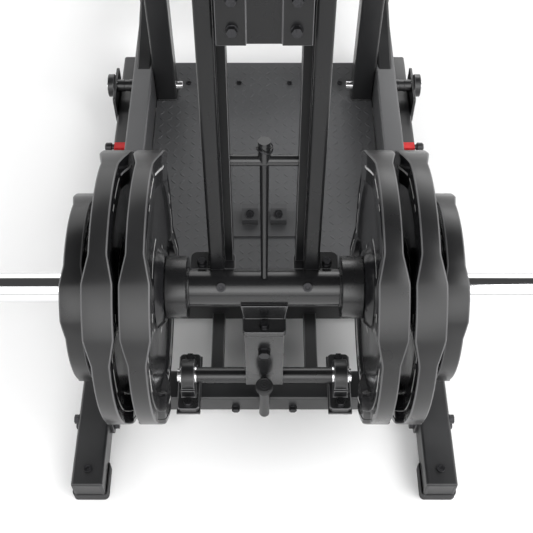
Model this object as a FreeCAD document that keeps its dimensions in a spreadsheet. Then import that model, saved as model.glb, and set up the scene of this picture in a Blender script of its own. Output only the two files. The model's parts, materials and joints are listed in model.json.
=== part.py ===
import FreeCAD, Part
import os
import Sketcher

os.makedirs("parts", exist_ok=True)

# Leg press with a rear-hinged weight lever, plates on two sleeves and a sliding seat.
# X is across the machine, +Y runs from the weights towards the seat, +Z is up, floor at Z = 0.

DIMENSIONS = {
    "rear_end": -979.55,
    "half_width": 342.0, "rail_width": 56.0, "rail_height": 56.0, "rail_length": 1096.0,
    "boot_lift": 10.0, "boot_proud": 4.0, "boot_height": 24.0, "boot_depth": 62.0,
    "wall": 3.0, "corner": 5.0,
    "beam_depth": 60.0, "beam_height": 50.0, "rear_beam_start": 168.0,
    "deck_start": 372.0, "deck_front": 970.0, "deck_length": 700.0, "deck_half": 252.0,
    "deck_thick": 4.0,
    "pivot_from_rear": 195.0, "pivot_level": 107.0, "shaft_radius": 12.5,
    "bearing_across": 140.0, "bearing_width": 40.0, "bearing_length": 116.0,
    "neck_half": 33.0, "neck_rear": 166.0, "neck_depth": 66.0, "neck_eye": 18.0,
    "neck_foot": 18.0, "neck_top": 298.0, "cap_thick": 12.0,
    "tube_from_rear": 228.0, "tube_level": 350.0, "tube_radius": 30.4, "tube_half": 125.0,
    "collar_radius": 51.8, "collar_end": 160.5, "sleeve_radius": 25.0, "sleeve_end": 532.0,
    "arm_lean": 6.5, "arm_from_rear": 247.0, "arm_level": 387.0, "arm_length": 740.0,
    "arm_outer": 90.0, "arm_width": 25.0, "arm_depth": 60.0,
    "bar_height": 193.5, "bar_radius": 9.0,
    "foot_low": 470.0, "foot_tall": 340.0, "foot_half": 240.0,
    "big_radius": 225.0, "small_radius": 155.0, "plate_bore": 25.3,
    "big_hub": 53.0, "big_thick": 46.0, "small_thick": 39.5,
    "beam_inner": 253.0, "side_width": 44.0, "side_height": 98.0, "side_start": 560.0,
    "post_inner": 205.0, "post_start": 945.0, "post_top": 500.0,
    "seat_slope": 14.0, "slope_start": 947.0, "slope_inner": 257.0, "slope_width": 34.0,
    "slope_depth": 50.0, "slope_length": 740.0,
    "leg_start": 1600.0, "leg_depth": 50.0, "front_foot_start": 1595.0,
    "slider_start": 205.0, "slider_length": 180.0,
    "seat_start": 1180.0, "seat_length": 320.0, "seat_half": 205.0, "seat_level": 352.0,
    "seat_thick": 68.0,
    "back_lean": 40.0, "back_hinge_from_rear": 1524.0, "back_hinge_level": 366.0,
    "back_length": 600.0, "back_half": 180.0, "back_thick": 66.0,
}


class Dim:
    """A size with its number and the sheet formula that gives it."""

    def __init__(self, text, value):
        self.text = text
        self.value = value

    def join(self, sign, other, value, swapped=False):
        first, second = (dim(other), self) if swapped else (self, dim(other))
        return Dim("(" + first.text + " " + sign + " " + second.text + ")", value)

    def __add__(self, other):
        return self.join("+", other, self.value + dim(other).value)

    def __sub__(self, other):
        return self.join("-", other, self.value - dim(other).value)

    def __mul__(self, other):
        return self.join("*", other, self.value * dim(other).value)

    def __truediv__(self, other):
        return self.join("/", other, self.value / dim(other).value)

    def __radd__(self, other):
        return self.join("+", other, dim(other).value + self.value, True)

    def __rsub__(self, other):
        return self.join("-", other, dim(other).value - self.value, True)

    def __rmul__(self, other):
        return self.join("*", other, dim(other).value * self.value, True)

    def __neg__(self):
        return Dim("(0 - " + self.text + ")", -self.value)


def dim(value):
    return value if isinstance(value, Dim) else Dim("(" + repr(float(value)) + ")", float(value))


doc = FreeCAD.newDocument("LegPress")
sheet = doc.addObject("Spreadsheet::Sheet", "Sizes")
S = {}
for row, (alias, number) in enumerate(DIMENSIONS.items(), start=1):
    sheet.set("A%d" % row, alias)
    sheet.set("B%d" % row, str(number))
    sheet.setAlias("B%d" % row, alias)
    S[alias] = Dim("Sizes." + alias, number)
doc.recompute()

NODES = []
X_AXIS = FreeCAD.Vector(1, 0, 0)
Y_AXIS = FreeCAD.Vector(0, 1, 0)
Z_AXIS = FreeCAD.Vector(0, 0, 1)


def along(distance):
    """Y of a place that lies this far in front of the rear end."""
    return S["rear_end"] + distance


def bind(thing, prop, size):
    thing.setExpression(prop, dim(size).text)


def place(thing, corner, axis=None, angle=0.0):
    """Puts an object at a corner, turned about an axis, with its place bound to the sheet."""
    turn = FreeCAD.Rotation(axis or Z_AXIS, dim(angle).value)
    base = FreeCAD.Vector(*[dim(c).value for c in corner])
    thing.Placement = FreeCAD.Placement(base, turn)
    for name, value in zip("xyz", corner):
        bind(thing, "Placement.Base." + name, value)
    return thing


def keep(thing, label):
    """Registers an object as one of the machine's pieces."""
    if label:
        thing.Label = label
        NODES.append(thing)
    return thing


def box(size, corner, axis=None, angle=0.0):
    thing = doc.addObject("Part::Box", "Block")
    for prop, value in zip(("Length", "Width", "Height"), size):
        bind(thing, prop, value)
    return place(thing, corner, axis, angle)


def rod(radius, length, base, axis=Z_AXIS):
    """A cylinder that starts at base and runs along axis."""
    thing = doc.addObject("Part::Cylinder", "Round")
    bind(thing, "Radius", radius)
    bind(thing, "Height", length)
    turn = FreeCAD.Rotation(Z_AXIS, axis)
    return place(thing, base, turn.Axis, turn.Angle * 57.29577951308232)


def hexagon(across, length, base, axis=Z_AXIS):
    """A hexagonal bolt head or nut."""
    thing = doc.addObject("Part::Prism", "Hexagon")
    thing.Polygon = 6
    bind(thing, "Circumradius", dim(across) / 1.732)
    bind(thing, "Height", length)
    turn = FreeCAD.Rotation(Z_AXIS, axis)
    return place(thing, base, turn.Axis, turn.Angle * 57.29577951308232)


def cut(base, tool):
    thing = doc.addObject("Part::Cut", "Cut")
    thing.Base = base
    thing.Tool = tool
    return thing


def fuse(parts):
    if len(parts) == 1:
        return parts[0]
    thing = doc.addObject("Part::MultiFuse", "Fusion")
    thing.Shapes = parts
    return thing


def group(parts):
    """Several separate solids, such as a set of bolts, as one piece."""
    thing = doc.addObject("Part::Compound", "Group")
    thing.Links = parts
    return thing


def round_along(thing, direction, radius):
    """Rounds the outermost long edges that run along a direction."""
    doc.recompute()
    shape = thing.Shape
    centre = shape.BoundBox.Center
    chosen = []
    for number, edge in enumerate(shape.Edges, start=1):
        if len(edge.Vertexes) != 2:
            continue
        run = edge.Vertexes[1].Point - edge.Vertexes[0].Point
        if run.Length < 1e-6 or abs(run.normalize().dot(direction)) < 0.999:
            continue
        away = edge.CenterOfMass - centre
        away = away - direction * away.dot(direction)
        chosen.append((away.Length, number))
    far = max(chosen)[0]
    thing_round = doc.addObject("Part::Fillet", "Rounded")
    thing_round.Base = thing
    value = dim(radius).value
    thing_round.Edges = [(number, value, value) for reach, number in chosen if reach > far - 0.1]
    return thing_round


def tube(size, corner, direction, open_ends=True):
    """A rectangular tube with rounded corners along one of the axes."""
    wall = S["wall"]
    inner_size = []
    inner_corner = []
    for index, unit in enumerate((X_AXIS, Y_AXIS, Z_AXIS)):
        runs_this_way = unit == direction
        grow = 1.0 if open_ends else -3.0
        if runs_this_way:
            inner_size.append(dim(size[index]) + 2.0 * grow)
            inner_corner.append(dim(corner[index]) - grow)
        else:
            inner_size.append(dim(size[index]) - 2.0 * wall)
            inner_corner.append(dim(corner[index]) + wall)
    outer = round_along(box(size, corner), direction, S["corner"])
    return cut(outer, box(inner_size, inner_corner))


def mirror(thing, label):
    """The same piece on the other side of the machine's middle plane."""
    other = doc.addObject("Part::Mirroring", "Mirrored")
    other.Source = thing
    other.Normal = X_AXIS
    return keep(other, label)


def origin_plane(body, role):
    return [f for f in body.Origin.OriginFeatures if f.Role == role][0]


def outline_sketch(body, plane, points, circles=()):
    """A closed outline of straight runs, each corner dimensioned from the sketch's origin."""
    sketch = body.newObject("Sketcher::SketchObject", "Outline")
    sketch.AttachmentSupport = [(origin_plane(body, plane), "")]
    sketch.MapMode = "FlatFace"
    vectors = [FreeCAD.Vector(dim(u).value, dim(v).value, 0) for u, v in points]
    count = len(vectors)
    for index in range(count):
        sketch.addGeometry(Part.LineSegment(vectors[index], vectors[(index + 1) % count]), False)
    for index in range(count):
        joined = Sketcher.Constraint("Coincident", index, 2, (index + 1) % count, 1)
        sketch.addConstraint(joined)
    for index, point in enumerate(points):
        for kind, value in zip(("DistanceX", "DistanceY"), point):
            pin_point(sketch, kind, index, 1, value)
    for number, (u, v, radius) in enumerate(circles):
        centre = FreeCAD.Vector(dim(u).value, dim(v).value, 0)
        place_in_list = count + number
        sketch.addGeometry(Part.Circle(centre, FreeCAD.Vector(0, 0, 1), dim(radius).value), False)
        pin_point(sketch, "DistanceX", place_in_list, 3, u)
        pin_point(sketch, "DistanceY", place_in_list, 3, v)
        made = sketch.addConstraint(Sketcher.Constraint("Radius", place_in_list, dim(radius).value))
        bind(sketch, "Constraints[%d]" % made, radius)
    return sketch


def pin_point(sketch, kind, index, end, value):
    """Holds one point of a sketch at a bound distance from an origin axis."""
    size = dim(value)
    if abs(size.value) < 1e-9:
        axis = -2 if kind == "DistanceX" else -1
        sketch.addConstraint(Sketcher.Constraint("PointOnObject", index, end, axis))
        return
    made = sketch.addConstraint(Sketcher.Constraint(kind, -1, 1, index, end, size.value))
    bind(sketch, "Constraints[%d]" % made, size)


def padded_body(label, plane, points, length, circles=(), both_ways=True, backwards=False):
    """A plate or block: an outline on one of its own planes, padded to a length."""
    body = doc.addObject("PartDesign::Body", "Plate")
    sketch = outline_sketch(body, plane, points, circles)
    pad = body.newObject("PartDesign::Pad", "Thickness")
    pad.Profile = sketch
    bind(pad, "Length", length)
    pad.Midplane = both_ways
    pad.Reversed = backwards
    body.Tip = pad
    sketch.Visibility = False
    return keep(body, label)


def turned_body(label, points):
    """A piece turned about the X axis from an outline of (x, radius) points."""
    body = doc.addObject("PartDesign::Body", "Turned")
    sketch = outline_sketch(body, "XY_Plane", points)
    turning = body.newObject("PartDesign::Revolution", "Turning")
    turning.Profile = (sketch, [""])
    turning.ReferenceAxis = (sketch, ["H_Axis"])
    turning.Angle = 360.0
    body.Tip = turning
    return keep(body, label)


def bolt(across, head, base, axis):
    """A bolt head on a thin washer, seen from outside."""
    washer = rod(dim(across) * 0.62, 1.6, base, axis)
    top = [dim(b) + 1.6 * step for b, step in zip(base, axis)]
    return fuse([washer, hexagon(across, head, top, axis)])


def button(radius, height, base, axis):
    """A round screw head with a socket."""
    head = rod(radius, height, base, axis)
    mouth = [dim(b) + (dim(height) - 2.0) * step for b, step in zip(base, axis)]
    return cut(head, hexagon(dim(radius) * 0.9, 3.0, mouth, axis))


def both_sides(parts):
    """The given solids and their mirror images as one group."""
    solids = []
    for part in parts:
        solids += [part, mirror(part, None)]
    return group(solids)


sleeve_radius = S["sleeve_radius"]

# ---- base: two long rails joined by cross beams, with a tread deck between them ----

rail_inner = S["half_width"] - S["rail_width"]
rail_top = S["boot_lift"] + S["rail_height"]
beam_low = rail_top - S["beam_height"]
rail_size = (S["rail_width"], S["rail_length"], S["rail_height"])
keep(both_sides([tube(rail_size, (rail_inner, along(0), S["boot_lift"]), Y_AXIS)]), "base_rails")


def boot(outer_low, outer_size, inner_low, inner_size):
    """A rubber cap round the end of a floor tube."""
    shell = round_along(box(outer_size, outer_low), Z_AXIS, 9.0)
    return cut(shell, box(inner_size, inner_low))


proud = S["boot_proud"]
boot_size = (S["rail_width"] + 2 * proud, S["boot_depth"] + proud, S["boot_height"])
inside_size = (S["rail_width"], S["boot_depth"] + 20.0, S["rail_height"])
inside_level = S["boot_lift"]
rear_boot = boot((rail_inner - proud, along(-proud), 0), boot_size,
                 (rail_inner, along(0), inside_level), inside_size)
rail_front = along(S["rail_length"])
front_boot = boot((rail_inner - proud, rail_front - S["boot_depth"], 0), boot_size,
                  (rail_inner, rail_front - S["boot_depth"] - 20.0, inside_level), inside_size)
foot_y = along(S["front_foot_start"])
side_boot_size = (S["boot_depth"] + proud, S["beam_depth"] + 2 * proud, S["boot_height"])
side_boot = boot((S["half_width"] - S["boot_depth"], foot_y - proud, 0), side_boot_size,
                 (S["half_width"] - S["boot_depth"] - 20.0, foot_y, inside_level),
                 (S["boot_depth"] + 20.0, S["beam_depth"], S["rail_height"]))
keep(both_sides([rear_boot, front_boot, side_boot]), "rubber_boots")

flange_thick = 6.0
beam_half = rail_inner - flange_thick
rear_beam_y = along(S["rear_beam_start"])
keep(tube((2 * beam_half, S["beam_depth"], S["beam_height"]),
          (-beam_half, rear_beam_y, beam_low), X_AXIS), "rear_cross_beam")
flange = box((flange_thick, 160.0, S["beam_height"]), (beam_half, rear_beam_y - 50.0, beam_low))
keep(both_sides([round_along(flange, X_AXIS, 8.0)]), "beam_flanges")

base_bolts = []
for reach in (-36.0, 96.0):
    for level in (29.0, 53.0):
        spot = rear_beam_y + reach
        base_bolts.append(bolt(13.0, 7.0, (beam_half, spot, level), -X_AXIS))
        base_bolts.append(bolt(15.0, 8.0, (S["half_width"], spot, level), X_AXIS))
base_bolts.append(bolt(13.0, 7.0, (54.0, rear_beam_y, 30.0), -Y_AXIS))
base_bolts.append(hexagon(11.0, 7.0, (187.0, rear_beam_y + 26.0, rail_top)))
deck_beams = []
for start in (S["deck_start"], S["deck_front"]):
    deck_beams.append(tube((2 * rail_inner, S["beam_depth"], S["beam_height"]),
                           (-rail_inner, along(start), beam_low), X_AXIS))
keep(group(deck_beams), "deck_beams")
keep(box((2 * S["deck_half"], S["deck_length"], S["deck_thick"]),
         (-S["deck_half"], along(S["deck_start"]), rail_top)), "tread_deck")
deck_top = rail_top + S["deck_thick"]
rail_middle = rail_inner + S["rail_width"] / 2
base_screws = [button(7.5, 5.0, (rail_middle, along(29.0), rail_top), Z_AXIS)]
for spot in (402.0, 1000.0):
    for across in (60.0, 180.0):
        base_screws.append(button(6.0, 3.5, (across, along(spot), deck_top), Z_AXIS))
link_start = S["rear_beam_start"] + S["beam_depth"]
link_size = (25.0, S["deck_start"] - link_start, 25.0)
keep(both_sides([box(link_size, (78.5, along(link_start), 18.0))]), "link_bars")

# ---- rear bearings and the two stops of the lever ----

pivot_y = along(S["pivot_from_rear"])
pivot_z = S["pivot_level"]
ring_radius = 17.0
running_fit = 0.06
block_rear = pivot_y - S["bearing_length"] / 2
block_side = S["bearing_across"] - S["bearing_width"] / 2
block_low = rail_top + 5.0
keep(both_sides([box((S["bearing_width"] + 4.0, S["bearing_length"] + 4.0, 5.0),
                     (block_side - 2.0, block_rear - 2.0, rail_top))]), "bearing_plates")

block_foot = round_along(box((S["bearing_width"], S["bearing_length"], 13.0),
                             (block_side, block_rear, block_low)), Z_AXIS, 8.0)
block_dome = rod(29.0, S["bearing_width"] - 16.0, (block_side + 8.0, pivot_y, pivot_z), X_AXIS)
block_web = box((S["bearing_width"] - 14.0, 66.0, 24.0),
                (block_side + 7.0, pivot_y - 33.0, block_low + 10.0))
block_bore = rod(ring_radius + running_fit, S["bearing_width"] + 4.0,
                 (block_side - 2.0, pivot_y, pivot_z), X_AXIS)
keep(both_sides([cut(fuse([block_foot, block_dome, block_web]), block_bore)]), "pillow_blocks")
for reach in (-46.0, 46.0):
    spot = (S["bearing_across"], pivot_y + reach, block_low + 13.0)
    base_bolts.append(bolt(15.0, 9.0, spot, Z_AXIS))
keep(both_sides(base_bolts), "base_bolts")

stop_y = along(150.0)
stop_low = 44.0
stop_tab = box((14.0, rear_beam_y - stop_y, 18.0), (-7.0, stop_y, stop_low))
rear_stop = fuse([rod(9.5, 140.0 - stop_low, (0, stop_y, stop_low)), stop_tab])

front_stop = padded_body(None, "YZ_Plane",
                         [(280.2, beam_low), (S["deck_start"], beam_low),
                          (S["deck_start"], 56.0), (320.0, 56.0), (320.0, 190.0),
                          (301.4, 190.0), (280.2, 150.0)], 40.0)
keep(group([rear_stop, place(front_stop, (0, along(0), 0))]), "stop_posts")
pad_way = FreeCAD.Vector(0, -0.8829, 0.4695)
keep(group([rod(15.6, 14.0, (0, stop_y, 140.0)),
            rod(13.0, 17.4, (0, along(290.8), 170.0), pad_way)]), "stop_pads")

# ---- bracket on the deck ----

bracket_plate = box((138.0, 67.0, 4.0), (-69.0, along(541.0), deck_top))
lug_level = deck_top + 4.0
bracket_parts = [bracket_plate]
for across in (30.0, -30.0):
    lug = padded_body(None, "YZ_Plane", [(0, -1.0), (34.0, -1.0), (34.0, 26.0), (22.0, 26.0),
                                         (0, 14.0)], 34.0)
    bracket_parts.append(place(lug, (across, along(573.0), lug_level)))
keep(fuse(bracket_parts), "floor_bracket")
lug_way = FreeCAD.Vector(0, -0.4789, 0.8779)
base_screws.append(button(9.0, 6.0, (30.0, along(584.0), lug_level + 20.0), lug_way))
keep(both_sides(base_screws), "base_screws")

# ---- lever: shaft, neck, weight tube and sleeves ----

keep(rod(S["shaft_radius"], 320.0, (-160.0, pivot_y, pivot_z), X_AXIS), "pivot_shaft")


def ring_between(inner, outer, start, end):
    """A straight ring about the X axis, from one X to another."""
    return turned_body(None, [(start, inner), (end, inner), (end, outer), (start, outer)])


ring_start = S["bearing_across"] - 15.0
ring_end = S["bearing_across"] + 15.0
ring = place(ring_between(S["shaft_radius"], ring_radius, ring_start, ring_end),
             (0, pivot_y, pivot_z))
keep(both_sides([ring]), "bearing_rings")
spacer = place(ring_between(S["shaft_radius"], dim(15.0), S["neck_half"] + 0.2, ring_start),
               (0, pivot_y, pivot_z))
keep(both_sides([spacer]), "shaft_spacers")

neck_half = S["neck_half"]
neck_rear = along(S["neck_rear"])
neck_low = pivot_z + S["neck_foot"]
neck_height = S["neck_top"] - neck_low
neck_body = box((2 * neck_half, S["neck_depth"], neck_height), (-neck_half, neck_rear, neck_low))
rear_reach = S["neck_rear"] - S["pivot_from_rear"]
neck_taper = padded_body(None, "YZ_Plane",
                         [(rear_reach, S["neck_foot"]),
                          (rear_reach + S["neck_depth"], S["neck_foot"]),
                          (17.0, -4.0), (-17.0, -4.0)], 2 * neck_half)
place(neck_taper, (0, pivot_y, pivot_z))
neck_eye = rod(S["neck_eye"], 2 * neck_half, (-neck_half, pivot_y, pivot_z), X_AXIS)
neck_hollow = box((2 * neck_half - 8.0, S["neck_depth"] - 8.0, neck_height - 28.0),
                  (4.0 - neck_half, neck_rear + 4.0, neck_low + 22.0))
neck_bore = rod(S["shaft_radius"], 2 * neck_half + 2.0, (-neck_half - 1.0, pivot_y, pivot_z),
                X_AXIS)
keep(cut(cut(fuse([neck_body, neck_taper, neck_eye]), neck_hollow), neck_bore), "lever_neck")
neck_cap = round_along(box((72.0, S["neck_depth"] + 4.0, S["cap_thick"]),
                           (-36.0, neck_rear - 2.0, S["neck_top"])), Z_AXIS, 7.0)
cap_top = S["neck_top"] + S["cap_thick"]

tube_y = along(S["tube_from_rear"])
tube_z = S["tube_level"]
saddle = padded_body(None, "XZ_Plane", [(-34.0, cap_top), (34.0, cap_top), (39.0, 346.0),
                                        (-39.0, 346.0)], 68.0)
place(saddle, (0, tube_y - 2.0, 0))
tube_space = rod(S["tube_radius"], 120.0, (-60.0, tube_y, tube_z), X_AXIS)
keep(fuse([neck_cap, cut(saddle, tube_space)]), "tube_saddle")

keep(place(turned_body(None, [(-S["tube_half"], sleeve_radius), (S["tube_half"], sleeve_radius),
                              (S["tube_half"], S["tube_radius"]),
                              (-S["tube_half"], S["tube_radius"])]),
           (0, tube_y, tube_z)), "weight_tube")

collar_outer = S["collar_radius"]
collar_start = S["tube_half"]
collar_end = S["collar_end"]
collar = turned_body(None, [(collar_start, sleeve_radius), (collar_end, sleeve_radius),
                            (collar_end, collar_outer - 1.2), (collar_end - 1.2, collar_outer),
                            (collar_start + 1.2, collar_outer),
                            (collar_start, collar_outer - 1.2)])
keep(both_sides([place(collar, (0, tube_y, tube_z))]), "sleeve_collars")

groove_at = 330.0
sleeve_end = S["sleeve_end"]
sleeve = turned_body("right_sleeve", [(60.0, 0), (sleeve_end, 0), (sleeve_end, sleeve_radius - 3.0),
                                      (sleeve_end - 3.0, sleeve_radius),
                                      (groove_at + 3.0, sleeve_radius),
                                      (groove_at + 3.0, sleeve_radius - 0.5),
                                      (groove_at, sleeve_radius - 0.5),
                                      (groove_at, sleeve_radius), (60.0, sleeve_radius)])
place(sleeve, (0, tube_y, tube_z))
mirror(sleeve, "left_sleeve")

# ---- lever: twin arms, stay, foot bracket and footplate ----

foot_level = tube_z + 16.0
foot_top = foot_level + 6.0
arm_foot = round_along(box((74.0, 56.0, 6.0), (48.0, tube_y + 1.0, foot_level)), Z_AXIS, 12.0)
foot_tube_space = rod(S["tube_radius"], 200.0, (20.0, tube_y, tube_z), X_AXIS)
keep(both_sides([cut(arm_foot, foot_tube_space)]), "arm_feet")


def on_arms(thing):
    """Puts pieces drawn upright into the leaning frame of the arms."""
    return place(group([thing]), (0, along(S["arm_from_rear"]), S["arm_level"]), X_AXIS,
                 -S["arm_lean"])


below_foot = box((140.0, 200.0, 60.0), (30.0, tube_y - 60.0, foot_top - 60.0))
foot_space = fuse([below_foot, rod(S["tube_radius"], 200.0, (20.0, tube_y, tube_z), X_AXIS)])
arm_inner = S["arm_outer"] - S["arm_width"]
arm_below = 26.0
arm_tall = S["arm_length"] + arm_below
arm = cut(on_arms(tube((S["arm_width"], S["arm_depth"], arm_tall), (arm_inner, 0, -arm_below),
                       Z_AXIS)), foot_space)
keep(arm, "right_arm")
mirror(arm, "left_arm")
web_thick = 13.7
web = cut(on_arms(box((web_thick, 36.0, arm_tall - 170.0),
                      (arm_inner - web_thick, 20.0, -arm_below))), foot_space)
keep(both_sides([web]), "arm_webs")

bar_half = arm_inner - web_thick
bar_height = S["bar_height"]
bar_depth = 38.0
keep(on_arms(rod(S["bar_radius"], 2 * bar_half, (-bar_half, bar_depth, bar_height), X_AXIS)),
     "crossbar")

bar_base_y = along(S["arm_from_rear"])
stay_foot = FreeCAD.Vector(0, tube_y.value, tube_z.value + S["tube_radius"].value - 0.5)
lean = FreeCAD.Rotation(X_AXIS, -S["arm_lean"].value)
bar_centre = lean.multVec(FreeCAD.Vector(0, bar_depth, bar_height.value))
bar_centre = bar_centre + FreeCAD.Vector(0, bar_base_y.value, S["arm_level"].value)
stay_way = bar_centre - stay_foot
stay_length = stay_way.Length
stay_cone = doc.addObject("Part::Cone", "Stay")
bind(stay_cone, "Radius1", 5.5)
bind(stay_cone, "Radius2", 7.3)
bind(stay_cone, "Height", stay_length)
stay_turn = FreeCAD.Rotation(Z_AXIS, stay_way)
place(stay_cone, (0, tube_y, tube_z + S["tube_radius"] - 0.5), stay_turn.Axis,
      stay_turn.Angle * 57.29577951308232)
stay_space = group([rod(S["tube_radius"], 60.0, (-30.0, tube_y, tube_z), X_AXIS)])
bar_space = on_arms(rod(S["bar_radius"], 60.0, (-30.0, bar_depth, bar_height), X_AXIS))
stay = cut(cut(stay_cone, stay_space), bar_space)
peg = fuse([rod(9.8, 38.0, (0, bar_depth, bar_height)),
            rod(2.0, 26.0, (-13.0, bar_depth, bar_height + 24.0), X_AXIS)])
keep(group([stay, cut(on_arms(peg), bar_space)]), "centre_stay")

bracket_low = 430.0
bracket_back = box((124.0, 6.0, 155.0), (-62.0, -6.0, bracket_low))
bracket_strips = []
for strip_low in (23.0, -62.0):
    bracket_strips.append(box((39.0, 5.0, 155.0), (strip_low, -10.0, bracket_low)))
keep(on_arms(fuse([bracket_back] + bracket_strips)), "foot_bracket")

plate_low = S["foot_low"]
foot_plate = round_along(box((2 * S["foot_half"], 8.0, S["foot_tall"]),
                             (-S["foot_half"], S["arm_depth"], plate_low)), Y_AXIS, 30.0)
plate_rib = box((2 * arm_inner - 0.6, 22.0, 6.0), (0.3 - arm_inner, S["arm_depth"] - 22.0, 600.0))
keep(on_arms(fuse([foot_plate, plate_rib])), "footplate")

lever_bolts = [bolt(18.0, 9.0, (0, neck_rear, 247.0), -Y_AXIS),
               bolt(13.0, 7.0, (0, neck_rear + 11.0, cap_top), Z_AXIS)]
screw_way = FreeCAD.Vector(0, -0.574, 0.819)
screw_reach = S["tube_radius"].value - 0.8
for side in (-1.0, 1.0):
    screw_base = (70.0 * side, tube_y - 0.574 * screw_reach, tube_z + 0.819 * screw_reach)
    lever_bolts.append(cut(button(7.5, 6.0, screw_base, screw_way),
                           rod(S["tube_radius"], 240.0, (-120.0, tube_y, tube_z), X_AXIS)))
    lever_bolts.append(bolt(13.0, 7.0, (103.0 * side, tube_y + 33.0, foot_top), Z_AXIS))
    for level in (24.0, 68.0):
        lever_bolts.append(on_arms(bolt(13.0, 7.0, (41.0 * side, -10.0, bracket_low + level),
                                        -Y_AXIS)))
keep(group(lever_bolts), "lever_bolts")

# ---- weight plates: a hub, a thin web, a rim and four thick grip lobes ----

lobe_angle = 46.7


def weight_plate(label, radius, start, hub, thick, rim):
    """A weight plate that starts at one X, with its hub's and its lobes' own thickness."""
    end = start + thick
    middle = start + thick / 2
    bore = S["plate_bore"]
    lobe_inner = radius - rim
    disc = turned_body(None, [(start, bore), (start + hub, bore), (start + hub, 62.0),
                              (middle + 9.0, 74.0),
                              (middle + 9.0, lobe_inner), (middle + 14.0, lobe_inner + 6.0),
                              (middle + 14.0, radius - 4.0), (middle + 10.0, radius),
                              (middle - 10.0, radius), (middle - 14.0, radius - 4.0),
                              (middle - 14.0, lobe_inner + 6.0), (middle - 9.0, lobe_inner),
                              (middle - 9.0, 70.0), (start, 62.0)])
    lobe_ring = turned_body(None, [(start, lobe_inner + 2.0), (end, lobe_inner + 2.0),
                                   (end, radius - 4.0), (end - 4.0, radius),
                                   (start + 4.0, radius), (start, radius - 4.0)])
    lobe_width = dim(radius) * 0.4
    bars = []
    for turn in (lobe_angle, lobe_angle + 90.0):
        bar = box((thick, 2 * dim(radius) + 20.0, lobe_width),
                  (start, -dim(radius) - 10.0, -lobe_width / 2))
        bars.append(place(group([bar]), (0, 0, 0), X_AXIS, -turn))
    lobes = doc.addObject("Part::MultiCommon", "Lobes")
    lobes.Shapes = [lobe_ring, fuse(bars)]
    return keep(place(fuse([disc, lobes]), (0, tube_y, tube_z)), label)


inner_start = collar_end + 0.3
outer_start = inner_start + S["big_hub"]
small_start = outer_start + S["big_hub"]
stack = [("inner_plate", S["big_radius"], inner_start, S["big_hub"], S["big_thick"], 52.0),
         ("outer_plate", S["big_radius"], outer_start, S["big_hub"], S["big_thick"], 52.0),
         ("small_plate", S["small_radius"], small_start, S["small_thick"], S["small_thick"], 40.0)]
for name, radius, start, hub, thick, rim in stack:
    made = weight_plate("right_" + name, radius, start, hub, thick, rim)
    mirror(made, "left_" + name)

# ---- side beams, uprights, tie shafts and hubs ----

beam_inner = S["beam_inner"]
tie_y = along(962.0)
tie_z = 100.0
tie_radius = 10.0
tie_space = rod(tie_radius, 340.0, (180.0, tie_y, tie_z), X_AXIS)
side_beam = tube((S["side_width"], S["rail_length"] - S["side_start"], S["side_height"]),
                 (beam_inner, along(S["side_start"]), rail_top), Y_AXIS)
keep(both_sides([cut(side_beam, tie_space)]), "side_beams")
post = tube((beam_inner - S["post_inner"], 50.0, S["post_top"] - deck_top),
            (S["post_inner"], along(S["post_start"]), deck_top), Z_AXIS)
keep(both_sides([cut(post, tie_space)]), "uprights")
grip_level = S["post_top"] + 16.0
grip_x = (S["post_inner"] + beam_inner) / 2
keep(both_sides([rod(16.0, 160.0, (grip_x, along(900.0), grip_level), Y_AXIS)]), "upright_grips")

hub_plate = round_along(box((6.0, 110.0, 76.0), (S["half_width"], along(905.0), 34.0)), X_AXIS, 8.0)
hub_face = S["half_width"] + 6.0
hub_disc = rod(26.0, 14.0, (hub_face, tie_y, tie_z), X_AXIS)
keep(both_sides([cut(fuse([hub_plate, hub_disc]), tie_space)]), "side_hubs")
tie_inner = S["post_inner"] - 15.0
tie_nut = cut(hexagon(17.0, 8.0, (S["post_inner"] - 8.0, tie_y, tie_z), X_AXIS),
              rod(tie_radius, 40.0, (tie_inner, tie_y, tie_z), X_AXIS))
tie = rod(tie_radius, hub_face + 18.0 - tie_inner, (tie_inner, tie_y, tie_z), X_AXIS)
keep(both_sides([fuse([tie, tie_nut])]), "side_tie_shafts")

# ---- sloping seat rails and the front feet ----

slope_y = along(S["slope_start"])
slope_z = rail_top + S["side_height"]
slope = S["seat_slope"]
slope_rise = 0.24933


def on_slope(thing):
    """Puts pieces drawn level into the frame of the sloping seat rails."""
    return place(group([thing]), (0, slope_y, slope_z), X_AXIS, slope)


def slope_level(distance, below):
    """Height of a plane that lies this far under the tops of the seat rails."""
    return slope_z + (dim(distance) - S["slope_start"]) * slope_rise - dim(below) * 1.03061


beam_space = box((400.0, S["rail_length"] + 100.0, S["side_height"] + 20.0),
                 (100.0, along(-100.0), rail_top - 20.0))
seat_rail = cut(on_slope(tube((S["slope_width"], S["slope_length"], S["slope_depth"]),
                              (S["slope_inner"], 0, -S["slope_depth"]), Y_AXIS)), beam_space)
keep(both_sides([seat_rail]), "seat_rails")
leg_box = tube((S["slope_width"], S["leg_depth"], 240.0),
               (S["slope_inner"], along(S["leg_start"]), rail_top), Z_AXIS)
leg_space = on_slope(box((200.0, 1000.0, 200.0), (200.0, 0, -S["slope_depth"])))
keep(both_sides([cut(leg_box, leg_space)]), "front_legs")
keep(tube((2 * S["half_width"], S["beam_depth"], S["rail_height"]),
          (-S["half_width"], foot_y, S["boot_lift"]), X_AXIS), "front_foot_beam")

# ---- seat carriage on the rails ----

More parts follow.
